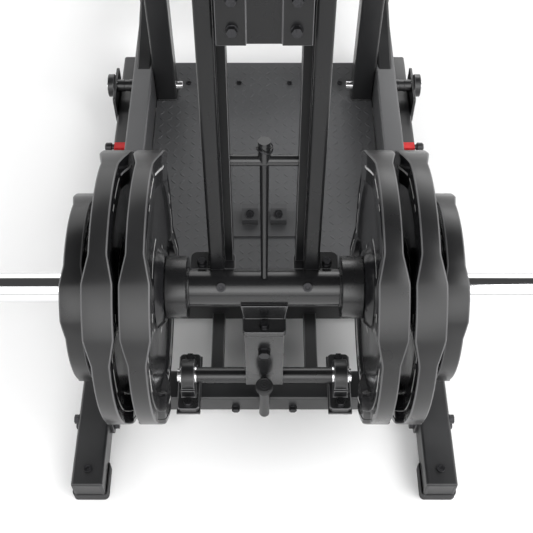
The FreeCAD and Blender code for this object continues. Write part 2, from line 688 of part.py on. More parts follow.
slide_gap = 0.4
skin = 4.0
slider_inner = S["slope_inner"] - slide_gap - skin
slider_outer = S["slope_inner"] + S["slope_width"] + slide_gap + skin
rail_gap_size = (S["slope_width"] + 2 * slide_gap, S["slider_length"] + 20.0,
                 S["slope_depth"] + 2 * slide_gap)
slider_box = box((slider_outer - slider_inner, S["slider_length"],
                  S["slope_depth"] + 2 * slide_gap + 2 * skin),
                 (slider_inner, S["slider_start"], -S["slope_depth"] - slide_gap - skin))
slider_gap = box(rail_gap_size, (S["slope_inner"] - slide_gap, S["slider_start"] - 10.0,
                                 -S["slope_depth"] - slide_gap))
pin_along = S["slider_start"] + 40.0
pin_down = -25.0
pin_boss = rod(12.0, 14.0, (slider_outer, pin_along, pin_down), X_AXIS)
pin_hole = rod(5.0 + running_fit, 30.0, (slider_outer - 6.0, pin_along, pin_down), X_AXIS)
slider = cut(cut(fuse([slider_box, pin_boss]), slider_gap), pin_hole)
keep(both_sides([on_slope(slider)]), "seat_sliders")
frame_parts = []
for start in (235.0, 335.0):
    frame_parts.append(on_slope(tube((2 * slider_inner, 40.0, 40.0), (-slider_inner, start, -45.0),
                                     X_AXIS)))

seat_top = S["seat_level"] - 1.0
seat_low = seat_top - 6.0
cheek_points = [(1182.0, slope_level(1182.0, 5.0)), (1330.0, slope_level(1330.0, 5.0)),
                (1400.0, seat_low), (1190.0, seat_low)]
for across in (-100.0, 100.0):
    cheek = padded_body(None, "YZ_Plane", cheek_points, 6.0)
    frame_parts.append(place(cheek, (across, along(0), 0)))
keep(group(frame_parts), "carriage_frame")
seat_plate = round_along(box((360.0, 290.0, 6.0), (-180.0, along(1190.0), seat_low)), Z_AXIS, 25.0)
hinge_y = along(S["back_hinge_from_rear"])
hinge_z = S["back_hinge_level"]
hinge_radius = 10.0
ears = []
ear_points = [(1380.0, seat_low), (1380.0, 315.0), (1510.0, 335.0), (1548.0, 350.0),
              (1548.0, 384.0), (1504.0, 384.0), (1504.0, seat_low)]
for across in (-166.0, 166.0):
    ear = padded_body(None, "YZ_Plane", ear_points, 8.0)
    ears.append(place(ear, (across, along(0), 0)))
seat_weldment = cut(fuse([seat_plate] + ears),
                    rod(hinge_radius, 400.0, (-200.0, hinge_y, hinge_z), X_AXIS))
keep(seat_weldment, "seat_plate")
keep(rod(hinge_radius, 352.0, (-176.0, hinge_y, hinge_z), X_AXIS), "back_hinge_pin")
seat_pad_size = (2 * S["seat_half"], S["seat_length"], S["seat_thick"])
keep(round_along(box(seat_pad_size, (-S["seat_half"], along(S["seat_start"]), S["seat_level"])),
                 Z_AXIS, 45.0), "seat_pad")
handle_x = 230.0
handle_arm = box((62.0, 30.0, 6.0), (180.0, along(1300.0), seat_low))
handle_post = rod(9.0, 56.0, (handle_x, along(1315.0), seat_top))
handle_grip = rod(15.0, 120.0, (handle_x, along(1255.0), 410.0), Y_AXIS)
keep(both_sides([fuse([handle_arm, handle_post, handle_grip])]), "seat_handles")

# ---- reclining back ----


def on_back(thing):
    """Puts pieces drawn upright into the leaning frame of the back."""
    return place(group([thing]), (0, hinge_y, hinge_z), X_AXIS, -S["back_lean"])


back_half = S["back_half"]
knuckle = rod(14.0, 310.0, (-155.0, 0, 0), X_AXIS)
back_parts = [knuckle, box((330.0, 6.0, 560.0), (-165.0, 12.0, 80.0))]
for low in (110.0, -140.0):
    back_parts.append(box((30.0, 25.0, 545.0), (low, 18.0, 15.0)))
    back_parts.append(box((30.0, 49.0, 50.0), (low, -6.0, -10.0)))
back_bore = rod(hinge_radius + running_fit, 340.0, (-170.0, 0, 0), X_AXIS)
keep(on_back(cut(fuse(back_parts), back_bore)), "back_frame")
back_pad = round_along(box((2 * back_half, S["back_thick"] - 1.0, S["back_length"]),
                           (-back_half, 12.0 - S["back_thick"], 70.0)), Y_AXIS, 45.0)
keep(on_back(back_pad), "back_pad")

# ---- pull pins ----


def pull_pin(shank, start, end, knob):
    """A straight shank with a thin ring and a round knob on its outer end."""
    return turned_body(None, [(start, 0), (end + 20.0, 0), (end + 20.0, knob - 3.0),
                              (end + 17.0, knob), (end + 6.0, knob), (end + 4.0, knob - 3.0),
                              (end + 4.0, shank + 2.0), (end, shank + 2.0), (end, shank),
                              (start, shank)])


boss_end = slider_outer + 14.0
seat_pin = place(pull_pin(dim(5.0), slider_outer - 3.0, boss_end + 0.4, dim(14.0)),
                 (0, pin_along, pin_down))
seat_pin_fixed = on_slope(seat_pin)
keep(seat_pin_fixed, "right_seat_pin")
mirror(seat_pin_fixed, "left_seat_pin")

lock_y = along(791.0)
lock_z = rail_top + 10.0
lock_block = box((25.0, 18.0, 16.0), (312.0, lock_y - 9.0, rail_top))
lock_bore = rod(4.0 + running_fit, 30.0, (310.0, lock_y, lock_z), X_AXIS)
keep(both_sides([cut(lock_block, lock_bore)]), "lock_blocks")
lock_pin = place(pull_pin(dim(4.0), dim(314.0), dim(337.4), dim(9.5)), (0, lock_y, lock_z))
keep(lock_pin, "right_lock_pin")
mirror(lock_pin, "left_lock_pin")

# ---- checks and files ----

doc.recompute()
for thing in doc.Objects:
    if "Invalid" in thing.State or "Error" in thing.State:
        raise RuntimeError(thing.Label + " did not compute: " + str(thing.State))
for piece in NODES:
    shape = piece.Shape
    if shape.isNull() or not shape.isValid():
        raise RuntimeError(piece.Label + " has no valid shape")
whole = Part.makeCompound([piece.Shape for piece in NODES])
bounds = whole.BoundBox
print("pieces", len(NODES), "X", bounds.XMin, bounds.XMax, "Y", bounds.YMin, bounds.YMax,
      "Z", bounds.ZMin, bounds.ZMax)
for piece in NODES:
    piece.Shape.exportStep("parts/" + piece.Label + ".step")
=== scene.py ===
import json
import math
import random

import bmesh
import bpy
from mathutils import Matrix, Vector
from mathutils.bvhtree import BVHTree


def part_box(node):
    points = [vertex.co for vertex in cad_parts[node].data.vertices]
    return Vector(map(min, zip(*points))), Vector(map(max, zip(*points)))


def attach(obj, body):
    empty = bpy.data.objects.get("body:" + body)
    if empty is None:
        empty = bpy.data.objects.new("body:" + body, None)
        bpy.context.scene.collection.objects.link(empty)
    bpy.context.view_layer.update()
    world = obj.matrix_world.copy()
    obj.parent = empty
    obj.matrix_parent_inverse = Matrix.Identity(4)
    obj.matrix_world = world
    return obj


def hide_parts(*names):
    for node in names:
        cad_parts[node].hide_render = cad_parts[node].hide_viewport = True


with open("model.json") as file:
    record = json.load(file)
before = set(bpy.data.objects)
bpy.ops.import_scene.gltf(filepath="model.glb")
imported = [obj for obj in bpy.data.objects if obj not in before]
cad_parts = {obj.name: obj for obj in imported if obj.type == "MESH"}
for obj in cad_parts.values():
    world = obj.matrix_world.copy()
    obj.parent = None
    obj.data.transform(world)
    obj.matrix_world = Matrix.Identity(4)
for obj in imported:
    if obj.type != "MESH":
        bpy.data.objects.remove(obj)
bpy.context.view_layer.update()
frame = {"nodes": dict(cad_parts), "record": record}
nodes = frame["nodes"]
random.seed(7)
scene = bpy.context.scene

BODY_OF = {}
for body_name, members in frame["record"]["behaviour"]["bodies"].items():
    for member in members:
        BODY_OF[member] = body_name

rear_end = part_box("base_rails")[0][1]


def at(x, along, z):
    """A point in metres from millimetres, with Y counted from the rear end of the rails."""
    return Vector((x / 1000.0, rear_end + along / 1000.0, z / 1000.0))


# ---- materials ----

NOISE_LOW, NOISE_HIGH = 0.3, 0.7
TONE_LOW, TONE_HIGH = 0.35, 0.65


def new_material(name, color, rough, metal=0.0):
    material = bpy.data.materials.new(name)
    material.use_nodes = True
    tree = material.node_tree
    shader = tree.nodes["Principled BSDF"]
    shader.inputs["Base Color"].default_value = (*color, 1.0)
    shader.inputs["Roughness"].default_value = rough
    shader.inputs["Metallic"].default_value = metal
    return material, tree, shader


def add_noise(tree, scale, detail=3.0, stretch=None):
    """Noise laid in the object's own space."""
    place = tree.nodes.new("ShaderNodeTexCoord")
    noise = tree.nodes.new("ShaderNodeTexNoise")
    noise.inputs["Scale"].default_value = scale
    noise.inputs["Detail"].default_value = detail
    source = place.outputs["Object"]
    if stretch:
        mapping = tree.nodes.new("ShaderNodeMapping")
        mapping.inputs["Scale"].default_value = stretch
        tree.links.new(source, mapping.inputs["Vector"])
        source = mapping.outputs["Vector"]
    tree.links.new(source, noise.inputs["Vector"])
    return noise


def spread(tree, source, low, high, target):
    """Turns a noise pattern into a value between two limits."""
    ranged = tree.nodes.new("ShaderNodeMapRange")
    ranged.inputs["From Min"].default_value = NOISE_LOW
    ranged.inputs["From Max"].default_value = NOISE_HIGH
    ranged.inputs["To Min"].default_value = low
    ranged.inputs["To Max"].default_value = high
    tree.links.new(source, ranged.inputs["Value"])
    tree.links.new(ranged.outputs["Result"], target)


def add_bump(tree, shader, source, strength, distance, below=None):
    """Relief from a pattern, laid over another relief if one is given."""
    bump = tree.nodes.new("ShaderNodeBump")
    bump.inputs["Strength"].default_value = strength
    bump.inputs["Distance"].default_value = distance
    tree.links.new(source, bump.inputs["Height"])
    if below:
        tree.links.new(below.outputs["Normal"], bump.inputs["Normal"])
    tree.links.new(bump.outputs["Normal"], shader.inputs["Normal"])
    return bump


def two_tones(tree, shader, source, dark, light):
    """Colours a surface between two tones by a noise pattern."""
    ramp = tree.nodes.new("ShaderNodeValToRGB")
    ramp.color_ramp.elements[0].position = TONE_LOW
    ramp.color_ramp.elements[0].color = (*dark, 1.0)
    ramp.color_ramp.elements[1].position = TONE_HIGH
    ramp.color_ramp.elements[1].color = (*light, 1.0)
    tree.links.new(source, ramp.inputs["Fac"])
    tree.links.new(ramp.outputs["Color"], shader.inputs["Base Color"])


def paint(name, base, rough_low, rough_high, peel=0.12, shine=0.5, coat=0.18):
    """Sprayed paint with faint orange peel and smudges in its gloss."""
    material, tree, shader = new_material(name, base, rough_low)
    cloud = add_noise(tree, 3.0, 2.0)
    two_tones(tree, shader, cloud.outputs["Fac"], [c * 0.86 for c in base],
              [c * 1.14 for c in base])
    grain = add_noise(tree, 1400.0, 2.0)
    smudge = add_noise(tree, 14.0, 4.0)
    spread(tree, smudge.outputs["Fac"], rough_low, rough_high, shader.inputs["Roughness"])
    add_bump(tree, shader, grain.outputs["Fac"], peel, 0.0004)
    shader.inputs["Specular IOR Level"].default_value = shine
    shader.inputs["Coat Weight"].default_value = coat
    shader.inputs["Coat Roughness"].default_value = 0.16
    return material


def rubber(name, base, rough_low, rough_high, grain_scale, strength):
    """Moulded rubber or plastic with a fine grain."""
    material, tree, shader = new_material(name, base, rough_low)
    cloud = add_noise(tree, 9.0, 5.0)
    two_tones(tree, shader, cloud.outputs["Fac"], [c * 0.82 for c in base],
              [c * 1.25 for c in base])
    spread(tree, cloud.outputs["Fac"], rough_low, rough_high, shader.inputs["Roughness"])
    grain = add_noise(tree, grain_scale, 3.0)
    add_bump(tree, shader, grain.outputs["Fac"], strength, 0.0006)
    shader.inputs["Specular IOR Level"].default_value = 0.42
    return material


frame_paint = paint("frame_paint", (0.012, 0.0122, 0.013), 0.32, 0.44)
# Painted light: a lighter copy of the frame paint for the side beams and the floor bracket,
# standing in for light on their tops.
lit_frame_paint = paint("lit_frame_paint", (0.052, 0.0525, 0.055), 0.36, 0.48)
# Painted highlight: a lighter paint for the bevelled edges of painted parts, standing in for the
# light lines along their edges.
edge_highlight_paint = paint("edge_highlight_paint", (0.085, 0.085, 0.088), 0.26, 0.40)
lever_paint = paint("lever_paint", (0.009, 0.0091, 0.0097), 0.20, 0.30, peel=0.08)
arm_paint = paint("arm_paint", (0.008, 0.0081, 0.0086), 0.24, 0.34, peel=0.10, shine=0.28, coat=0.0)
# Painted shade: a darker, duller copy of the arm paint for the recessed webs, standing in for the
# shade that falls between the arms' faces.
web_shade_paint = paint("web_shade_paint", (0.004, 0.0041, 0.0044), 0.30, 0.40, peel=0.10, shine=0.14, coat=0.0)
bearing_paint = paint("bearing_paint", (0.012, 0.0122, 0.013), 0.24, 0.38, peel=0.20)
deck_paint = paint("deck_paint", (0.066, 0.067, 0.070), 0.42, 0.56, peel=0.16)
plate_rubber = rubber("plate_rubber", (0.012, 0.012, 0.0125), 0.26, 0.34, 900.0, 0.10)
plate_gloss = rubber("plate_gloss", (0.010, 0.010, 0.011), 0.14, 0.24, 700.0, 0.06)
# Painted highlight: a lighter rubber for the chamfers between a plate's faces and its tread,
# standing in for the pale light along the rim's edges.
plate_edge_highlight = rubber("plate_edge_highlight", (0.075, 0.075, 0.077), 0.30, 0.42, 900.0, 0.12)
boot_rubber = rubber("boot_rubber", (0.018, 0.018, 0.019), 0.62, 0.80, 800.0, 0.35)
grip_rubber = rubber("grip_rubber", (0.020, 0.020, 0.021), 0.55, 0.72, 1100.0, 0.40)
knob_plastic = rubber("knob_plastic", (0.020, 0.020, 0.021), 0.30, 0.42, 600.0, 0.12)
cap_plastic = rubber("cap_plastic", (0.022, 0.022, 0.023), 0.42, 0.55, 700.0, 0.16)


def chrome_material():
    material, tree, shader = new_material("bright_chrome", (0.80, 0.80, 0.81), 0.12, 1.0)
    rings = add_noise(tree, 3.0, 5.0, (700.0, 5.0, 5.0))
    spread(tree, rings.outputs["Fac"], 0.05, 0.11, shader.inputs["Roughness"])
    add_bump(tree, shader, rings.outputs["Fac"], 0.02, 0.0002)
    return material


def bolt_material():
    material, tree, shader = new_material("black_bolt", (0.035, 0.035, 0.038), 0.32, 0.85)
    turned = add_noise(tree, 500.0, 3.0)
    two_tones(tree, shader, turned.outputs["Fac"], (0.028, 0.028, 0.030), (0.044, 0.044, 0.047))
    spread(tree, turned.outputs["Fac"], 0.26, 0.42, shader.inputs["Roughness"])
    add_bump(tree, shader, turned.outputs["Fac"], 0.10, 0.0003)
    return material


def red_material():
    material, tree, shader = new_material("red_block", (0.52, 0.012, 0.014), 0.34, 0.35)
    cloud = add_noise(tree, 40.0, 3.0)
    two_tones(tree, shader, cloud.outputs["Fac"], (0.42, 0.008, 0.010), (0.60, 0.016, 0.018))
    grain = add_noise(tree, 1500.0, 2.0)
    add_bump(tree, shader, grain.outputs["Fac"], 0.10, 0.0003)
    return material


def print_material():
    material, tree, shader = new_material("pale_print", (0.62, 0.62, 0.62), 0.5)
    flecks = add_noise(tree, 240.0, 5.0)
    two_tones(tree, shader, flecks.outputs["Fac"], (0.42, 0.42, 0.42), (0.74, 0.74, 0.74))
    add_bump(tree, shader, flecks.outputs["Fac"], 0.10, 0.0003)
    return material


def vinyl_material():
    """Grained vinyl: pebbled cells, fine pores and broad soft creases."""
    material, tree, shader = new_material("seat_vinyl", (0.022, 0.022, 0.024), 0.4)
    place = tree.nodes.new("ShaderNodeTexCoord")
    cells = tree.nodes.new("ShaderNodeTexVoronoi")
    cells.feature = "SMOOTH_F1"
    cells.inputs["Scale"].default_value = 620.0
    tree.links.new(place.outputs["Object"], cells.inputs["Vector"])
    creases = add_noise(tree, 11.0, 4.0)
    creases.inputs["Distortion"].default_value = 0.8
    soft = add_bump(tree, shader, creases.outputs["Fac"], 0.22, 0.004)
    add_bump(tree, shader, cells.outputs["Distance"], 0.34, 0.0006, soft)
    cloud = add_noise(tree, 5.0, 4.0)
    two_tones(tree, shader, cloud.outputs["Fac"], (0.017, 0.017, 0.019), (0.030, 0.030, 0.033))
    spread(tree, creases.outputs["Fac"], 0.36, 0.50, shader.inputs["Roughness"])
    shader.inputs["Sheen Weight"].default_value = 0.12
    return material


def thread_material():
    material, tree, shader = new_material("seam_thread", (0.16, 0.012, 0.014), 0.7)
    strands = add_noise(tree, 900.0, 3.0)
    two_tones(tree, shader, strands.outputs["Fac"], (0.10, 0.008, 0.009), (0.24, 0.02, 0.022))
    add_bump(tree, shader, strands.outputs["Fac"], 0.4, 0.0005)
    return material


chrome = chrome_material()
bolt_black = bolt_material()
red_paint = red_material()
pale_print = print_material()
vinyl = vinyl_material()
thread = thread_material()

LOOK_OF_SLOT = {
    "frame_paint": frame_paint, "lever_paint": lever_paint, "bearing_paint": bearing_paint,
    "deck_steel": deck_paint, "bright_chrome": chrome, "black_bolt": bolt_black,
    "boot_rubber": boot_rubber, "plate_rubber": plate_rubber, "grip_rubber": grip_rubber,
    "seat_vinyl": vinyl, "red_block": red_paint, "pin_knob": knob_plastic,
}
# Side beams and floor bracket take the lighter copy of the frame paint as painted light.
LOOK_OF_NODE = {"side_beams": lit_frame_paint, "left_arm": arm_paint, "right_arm": arm_paint,
                # The recessed arm webs take the darker web paint as painted shade.
                "foot_bracket": arm_paint, "arm_webs": web_shade_paint, "floor_bracket": lit_frame_paint}
# Painted slots whose bevels take the lighter edge paint as a painted highlight.
EDGE_HIGHLIGHT_SLOTS = ("frame_paint", "lever_paint", "bearing_paint", "deck_steel")
SLOT_OF = {row["node"]: row["material_slot"] for row in frame["record"]["subparts"]}


# ---- mesh helpers ----

WELD_DISTANCE = 2e-6
FLAT_ENOUGH = math.radians(1.0)
SHARP_EDGE = math.radians(33.0)


def add_piece(name, mesh, looks, body):
    """Puts a mesh in the scene as a piece that rides on a body."""
    piece = bpy.data.objects.new(name, mesh)
    scene.collection.objects.link(piece)
    for look in looks:
        mesh.materials.append(look)
    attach(piece, body)
    return piece


def smooth_by_angle(mesh, degrees):
    """Smooth shading, with edges sharper than this left crisp."""
    form = bmesh.new()
    form.from_mesh(mesh)
    limit = math.radians(degrees)
    for face in form.faces:
        face.smooth = True
    for edge in form.edges:
        edge.smooth = len(edge.link_faces) == 2 and edge.calc_face_angle(0.0) < limit
    form.to_mesh(mesh)
    form.free()


def face_outward(mesh):
    """Turns a closed shell the right way out."""
    form = bmesh.new()
    form.from_mesh(mesh)
    closed = all(len(edge.link_faces) == 2 for edge in form.edges)
    if closed and form.calc_volume(signed=True) < 0.0:
        bmesh.ops.reverse_faces(form, faces=form.faces)
        form.to_mesh(mesh)
    form.free()


def mesh_from(name, points, faces, degrees):
    """A mesh of points and faces, smooth up to an angle between its faces."""
    mesh = bpy.data.meshes.new(name)
    mesh.from_pydata([tuple(p) for p in points], [], faces)
    mesh.validate()
    face_outward(mesh)
    smooth_by_angle(mesh, degrees)
    return mesh


def sweep(points, radii, sides=10, closed=False):
    """Points and faces of a round tube that follows a path, one radius for each point."""
    count = len(points)
    verts = []
    faces = []
    normal = None
    for index, point in enumerate(points):
        before = points[(index - 1) % count] if closed or index else point
        after = points[(index + 1) % count] if closed or index < count - 1 else point
        way = (after - before).normalized()
        if normal is None:
            normal = way.orthogonal().normalized()
        normal = (normal - way * normal.dot(way)).normalized()
        side = way.cross(normal)
        for step in range(sides):
            turn = 2.0 * math.pi * step / sides
            verts.append(point + (normal * math.cos(turn) + side * math.sin(turn)) * radii[index])
    rows = count if closed else count - 1
    for row in range(rows):
        for step in range(sides):
            a = row * sides + step
            b = row * sides + (step + 1) % sides
            c = ((row + 1) % count) * sides + (step + 1) % sides
            d = ((row + 1) % count) * sides + step
            faces.append((a, b, c, d))
    if not closed:
        faces.append(tuple(range(sides))[::-1])
        faces.append(tuple(range((count - 1) * sides, count * sides)))
    return verts, faces


def spin(profile, centre, steps, axis="X"):
    """Points and faces of a closed outline of (along, radius) points turned about an axis."""
    verts = []
    faces = []
    count = len(profile)
    for step in range(steps):
        turn = 2.0 * math.pi * step / steps
        for along, radius in profile:
            c, s = radius * math.cos(turn), radius * math.sin(turn)
            offset = Vector((along, c, s)) if axis == "X" else Vector((s, along, c))
            verts.append(centre + offset)
    for step in range(steps):
        for index in range(count):
            a = step * count + index
            b = step * count + (index + 1) % count
            c = ((step + 1) % steps) * count + (index + 1) % count
            d = ((step + 1) % steps) * count + index
            faces.append((a, b, c, d))
    return verts, faces


def edged_copy(node, width):
    """A copy of a hard CAD part, its sharp edges softened by a width in millimetres."""
    mesh = nodes[node].data.copy()
    mesh.name = node + "_edged"
    if "custom_normal" in mesh.attributes:
        mesh.attributes.remove(mesh.attributes["custom_normal"])
    form = bmesh.new()
    form.from_mesh(mesh)
    bmesh.ops.remove_doubles(form, verts=form.verts, dist=WELD_DISTANCE)
    bmesh.ops.dissolve_limit(form, angle_limit=FLAT_ENOUGH, verts=form.verts,
                             edges=form.edges)
    for face in form.faces:
        face.smooth = True
        face.material_index = 0
    form.to_mesh(mesh)
    form.free()
    mesh.materials.clear()
    slot = SLOT_OF[node]
    looks = [LOOK_OF_NODE.get(node, LOOK_OF_SLOT[slot])]
    # Painted parts get a second look for their bevels: the lighter edge paint, a painted highlight.
    if slot in EDGE_HIGHLIGHT_SLOTS:
        looks.append(edge_highlight_paint)
    piece = add_piece(node + "_edged", mesh, looks, BODY_OF[node])
    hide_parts(node)
    bevel = piece.modifiers.new("Edges", "BEVEL")
    bevel.width = width / 1000.0
    bevel.segments = 2
    bevel.limit_method = "ANGLE"
    bevel.angle_limit = SHARP_EDGE
    bevel.use_clamp_overlap = False
    bevel.harden_normals = True
    if slot in EDGE_HIGHLIGHT_SLOTS:
        bevel.material = 1


# ---- hard parts: softened copies of the frame's own shapes, widths in millimetres ----

EDGE_WIDTHS = {
    "base_rails": 0.7, "rear_cross_beam": 0.7, "deck_beams": 0.7, "side_beams": 0.8,
    "uprights": 0.8, "seat_rails": 0.7, "front_legs": 0.7, "front_foot_beam": 0.7,
    "left_arm": 0.7, "right_arm": 0.7, "arm_webs": 0.8, "beam_flanges": 0.9,
    "bearing_plates": 0.9, "link_bars": 1.6, "stop_posts": 1.0, "tread_deck": 0.7,
    "lever_neck": 0.9, "tube_saddle": 1.0, "arm_feet": 1.0,
    "foot_bracket": 0.9, "footplate": 1.4, "pillow_blocks": 1.6, "side_hubs": 1.1,
    "seat_sliders": 0.9, "carriage_frame": 0.8, "seat_plate": 0.9, "back_frame": 0.9,
    "lock_blocks": 1.0, "base_bolts": 0.6, "base_screws": 0.5, "lever_bolts": 0.6,
    "rubber_boots": 2.2, "stop_pads": 2.2, "side_tie_shafts": 0.9,
}
for node_name, edge_width in EDGE_WIDTHS.items():
    edged_copy(node_name, edge_width)
for node_name, node_object in nodes.items():
    if node_name in EDGE_WIDTHS:
        continue
    node_object.data.materials.clear()
    look = LOOK_OF_NODE.get(node_name, LOOK_OF_SLOT[SLOT_OF[node_name]])
    node_object.data.materials.append(look)


# ---- weight plates ----

# Grip lobes, in degrees: where one stands, half its flat top and half its foot.
LOBE_CENTRE = 46.7
LOBE_FLAT = 10.5
LOBE_FOOT = 21.5
# Distances from a plate's middle, in millimetres.
WEB_FACE = 9.0
WEB_STEP = 10.2
RIM_REACH = 14.0
LOBE_SHORT = 0.3
RIM_GROOVE = 1.1
TREAD_DIP = 1.5
# How the printed marks repeat, in steps of one turn.
PLATE_STEPS = 288
DASH_STEPS = 3
DASH_GROUP_STEPS = 36
ARC_STEPS = 48
# The strips of a plate's section, counted from the bore out.
BORE_STRIPS = 2
HUB_PRINT_STRIP = 10
RIM_PRINT_STRIP = 16
GLOSS_END = 21
# Strips from the gloss end up to this one are the rim's chamfers, coloured lighter as a painted
# highlight.
EDGE_HIGHLIGHT_END = 24
IS_RUBBER, IS_CHROME, IS_GLOSS, IS_PRINT, IS_EDGE_HIGHLIGHT = range(5)
PLATE_LOOKS = (plate_rubber, chrome, plate_gloss, pale_print, plate_edge_highlight)


def lobe_share(degrees):
    """1 on a grip lobe, 0 between lobes, with a straight ramp on each side."""
    away = abs((degrees - LOBE_CENTRE + 45.0) % 90.0 - 45.0)
    return min(1.0, max(0.0, (LOBE_FOOT - away) / (LOBE_FOOT - LOBE_FLAT)))


def rim_side(radius, rim, share, reach):
    """One face of a plate's rim, from the web out to the tread, as (from the middle, radius)."""
    outer = radius - TREAD_DIP * (1.0 - share)
    groove = reach - RIM_GROOVE
    return [(WEB_FACE, radius - rim - 7.0), (WEB_STEP, radius - rim - 3.0),
            (reach - 1.4, radius - rim + 1.0), (reach, radius - rim + 3.2),
            (reach, radius - 26.0), (reach, radius - 22.5),
            (groove, radius - 21.5), (groove, radius - 9.0), (reach, radius - 8.0),
            (reach, outer - 1.9), (reach - 0.5, outer - 0.9), (reach - 1.5, outer - 0.2),
            (reach - 2.4, outer)]


def hub_side(hub):
    """One face of a plate's hub, from the bore out to the web, as (from the middle, radius)."""
    return [(hub - 0.9, 25.6), (hub - 0.2, 26.6), (hub - 0.2, 37.0), (hub - 1.4, 38.2),
            (hub - 1.4, 40.4), (hub - 0.2, 41.6), (hub - 0.2, 57.0), (hub - 2.2, 60.0),
            (WEB_STEP, 68.0), (WEB_FACE, 73.0), (WEB_FACE, 84.0), (WEB_FACE, 88.0)]


def strip_look(index, place, dash, arc):
    """The look of one strip: its number in the section, and its place from the bore out."""
    if place < BORE_STRIPS or index == SECTION_COUNT - 1:
        return IS_CHROME
    if (place == HUB_PRINT_STRIP and arc) or (place == RIM_PRINT_STRIP and dash):
        return IS_PRINT
    if place < GLOSS_END:
        return IS_GLOSS
    # The rim's chamfers take the lighter rubber: a painted highlight.
    if place < EDGE_HIGHLIGHT_END:
        return IS_EDGE_HIGHLIGHT
    return IS_RUBBER


HALF_COUNT = len(hub_side(1.0)) + len(rim_side(1.0, 1.0, 0.0, 1.0))
SECTION_COUNT = 2 * HALF_COUNT


def weight_plate(node, radius, thick, rim):
    """A rubber plate: steel bore ring, thin web and a rim with four thick grip lobes.

    Its radius, thickness at a lobe and width of rim are in millimetres.
    """
    low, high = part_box(node)
    tube_low, tube_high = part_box("weight_tube")
    side = 1.0 if low[0] > 0.0 else -1.0
    inner_face = min(abs(low[0]), abs(high[0])) * 1000.0
    hub = (high[0] - low[0]) * 1000.0
    middle = inner_face + thick / 2.0
    centre_y = (tube_low[1] + tube_high[1]) / 2
    centre_z = (tube_low[2] + tube_high[2]) / 2
    verts = []
    for step in range(PLATE_STEPS):
        degrees = 360.0 * step / PLATE_STEPS
        share = lobe_share(degrees)
        reach = RIM_REACH + (thick / 2.0 - RIM_REACH - LOBE_SHORT) * share
        rim_points = rim_side(radius, rim, share, reach)
        inward = hub_side(thick / 2.0) + rim_points
        outward = hub_side(hub - thick / 2.0) + rim_points
        section = [(-x, r) for x, r in inward] + list(reversed(outward))
        turn = math.radians(degrees)
        for x, r in section:
            verts.append(((middle + x) * side / 1000.0, centre_y - r * math.cos(turn) / 1000.0,
                          centre_z + r * math.sin(turn) / 1000.0))
    count = SECTION_COUNT
    faces = []
    looks = []
    for step in range(PLATE_STEPS):
        dash = (step // DASH_STEPS) % 5 != 0 and (step // DASH_GROUP_STEPS) % 2 == 0
        arc = (step // ARC_STEPS) % 3 != 2
        for index in range(count):
            a = step * count + index
            b = step * count + (index + 1) % count
            c = ((step + 1) % PLATE_STEPS) * count + (index + 1) % count
            d = ((step + 1) % PLATE_STEPS) * count + index
            faces.append((a, b, c, d) if side < 0 else (d, c, b, a))
            place = index if index < HALF_COUNT else count - 2 - index
            looks.append(strip_look(index, place, dash, arc))
    mesh = bpy.data.meshes.new(node + "_lobed")
    mesh.from_pydata(verts, [], faces)
    for polygon, look in zip(mesh.polygons, looks):
        polygon.material_index = look
    face_outward(mesh)
    smooth_by_angle(mesh, 24.0)
    piece = add_piece(node + "_lobed", mesh, PLATE_LOOKS, BODY_OF[node])
    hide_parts(node)


BIG_PLATE = (224.6, 46.0, 50.0)
SMALL_PLATE = (154.6, 39.5, 36.0)
for side_name in ("left", "right"):
    weight_plate(side_name + "_inner_plate", *BIG_PLATE)
    weight_plate(side_name + "_outer_plate", *BIG_PLATE)
    weight_plate(side_name + "_small_plate", *SMALL_PLATE)


# ---- tread pattern: raised lens-shaped bars in two directions ----


TREAD_PITCH = 19.0
BAR_LENGTH = 15.0
BAR_STEPS = 14
BAR_SLIM = 0.15
BAR_POINT = 1.3
# Outlines of a bar from its foot up, as shares of its length and of its height.
BAR_RINGS = ((1.0, 0.0), (0.90, 0.75), (0.62, 1.0))


def tread(name, body, lay, width, length, height, margin, holes=()):
    """Bars on a plane, laid by a matrix whose third axis stands off the sheet."""
    verts = []
    faces = []
    across = int((width - 2 * margin) / TREAD_PITCH)
    along = int((length - 2 * margin) / TREAD_PITCH)
    for column in range(across + 1):
        for row in range(along + 1):
            u = (column - across / 2.0) * TREAD_PITCH
            v = (row - along / 2.0) * TREAD_PITCH
            if any(u0 < u < u1 and v0 < v < v1 for u0, u1, v0, v1 in holes):
                continue
            turn = math.radians(45.0 if (row + column) % 2 else -45.0)
            base = len(verts)
            for scale, rise in BAR_RINGS:
                for step in range(BAR_STEPS):
                    angle = 2.0 * math.pi * step / BAR_STEPS
                    reach = BAR_LENGTH / 2.0 * math.cos(angle) * scale
                    bulge = math.copysign(abs(math.sin(angle)) ** BAR_POINT, math.sin(angle))
                    half = BAR_LENGTH * BAR_SLIM * bulge * scale
                    x = u + reach * math.cos(turn) - half * math.sin(turn)
                    y = v + reach * math.sin(turn) + half * math.cos(turn)
                    verts.append(lay @ (Vector((x, y, height * rise)) / 1000.0))
            for ring in range(len(BAR_RINGS) - 1):
                for step in range(BAR_STEPS):
                    a = base + ring * BAR_STEPS + step
                    b = base + ring * BAR_STEPS + (step + 1) % BAR_STEPS
                    faces.append((a, b, b + BAR_STEPS, a + BAR_STEPS))
            top = base + (len(BAR_RINGS) - 1) * BAR_STEPS
            faces.append(tuple(top + step for step in range(BAR_STEPS)))
    add_piece(name, mesh_from(name, verts, faces, 60.0), [deck_paint], body)


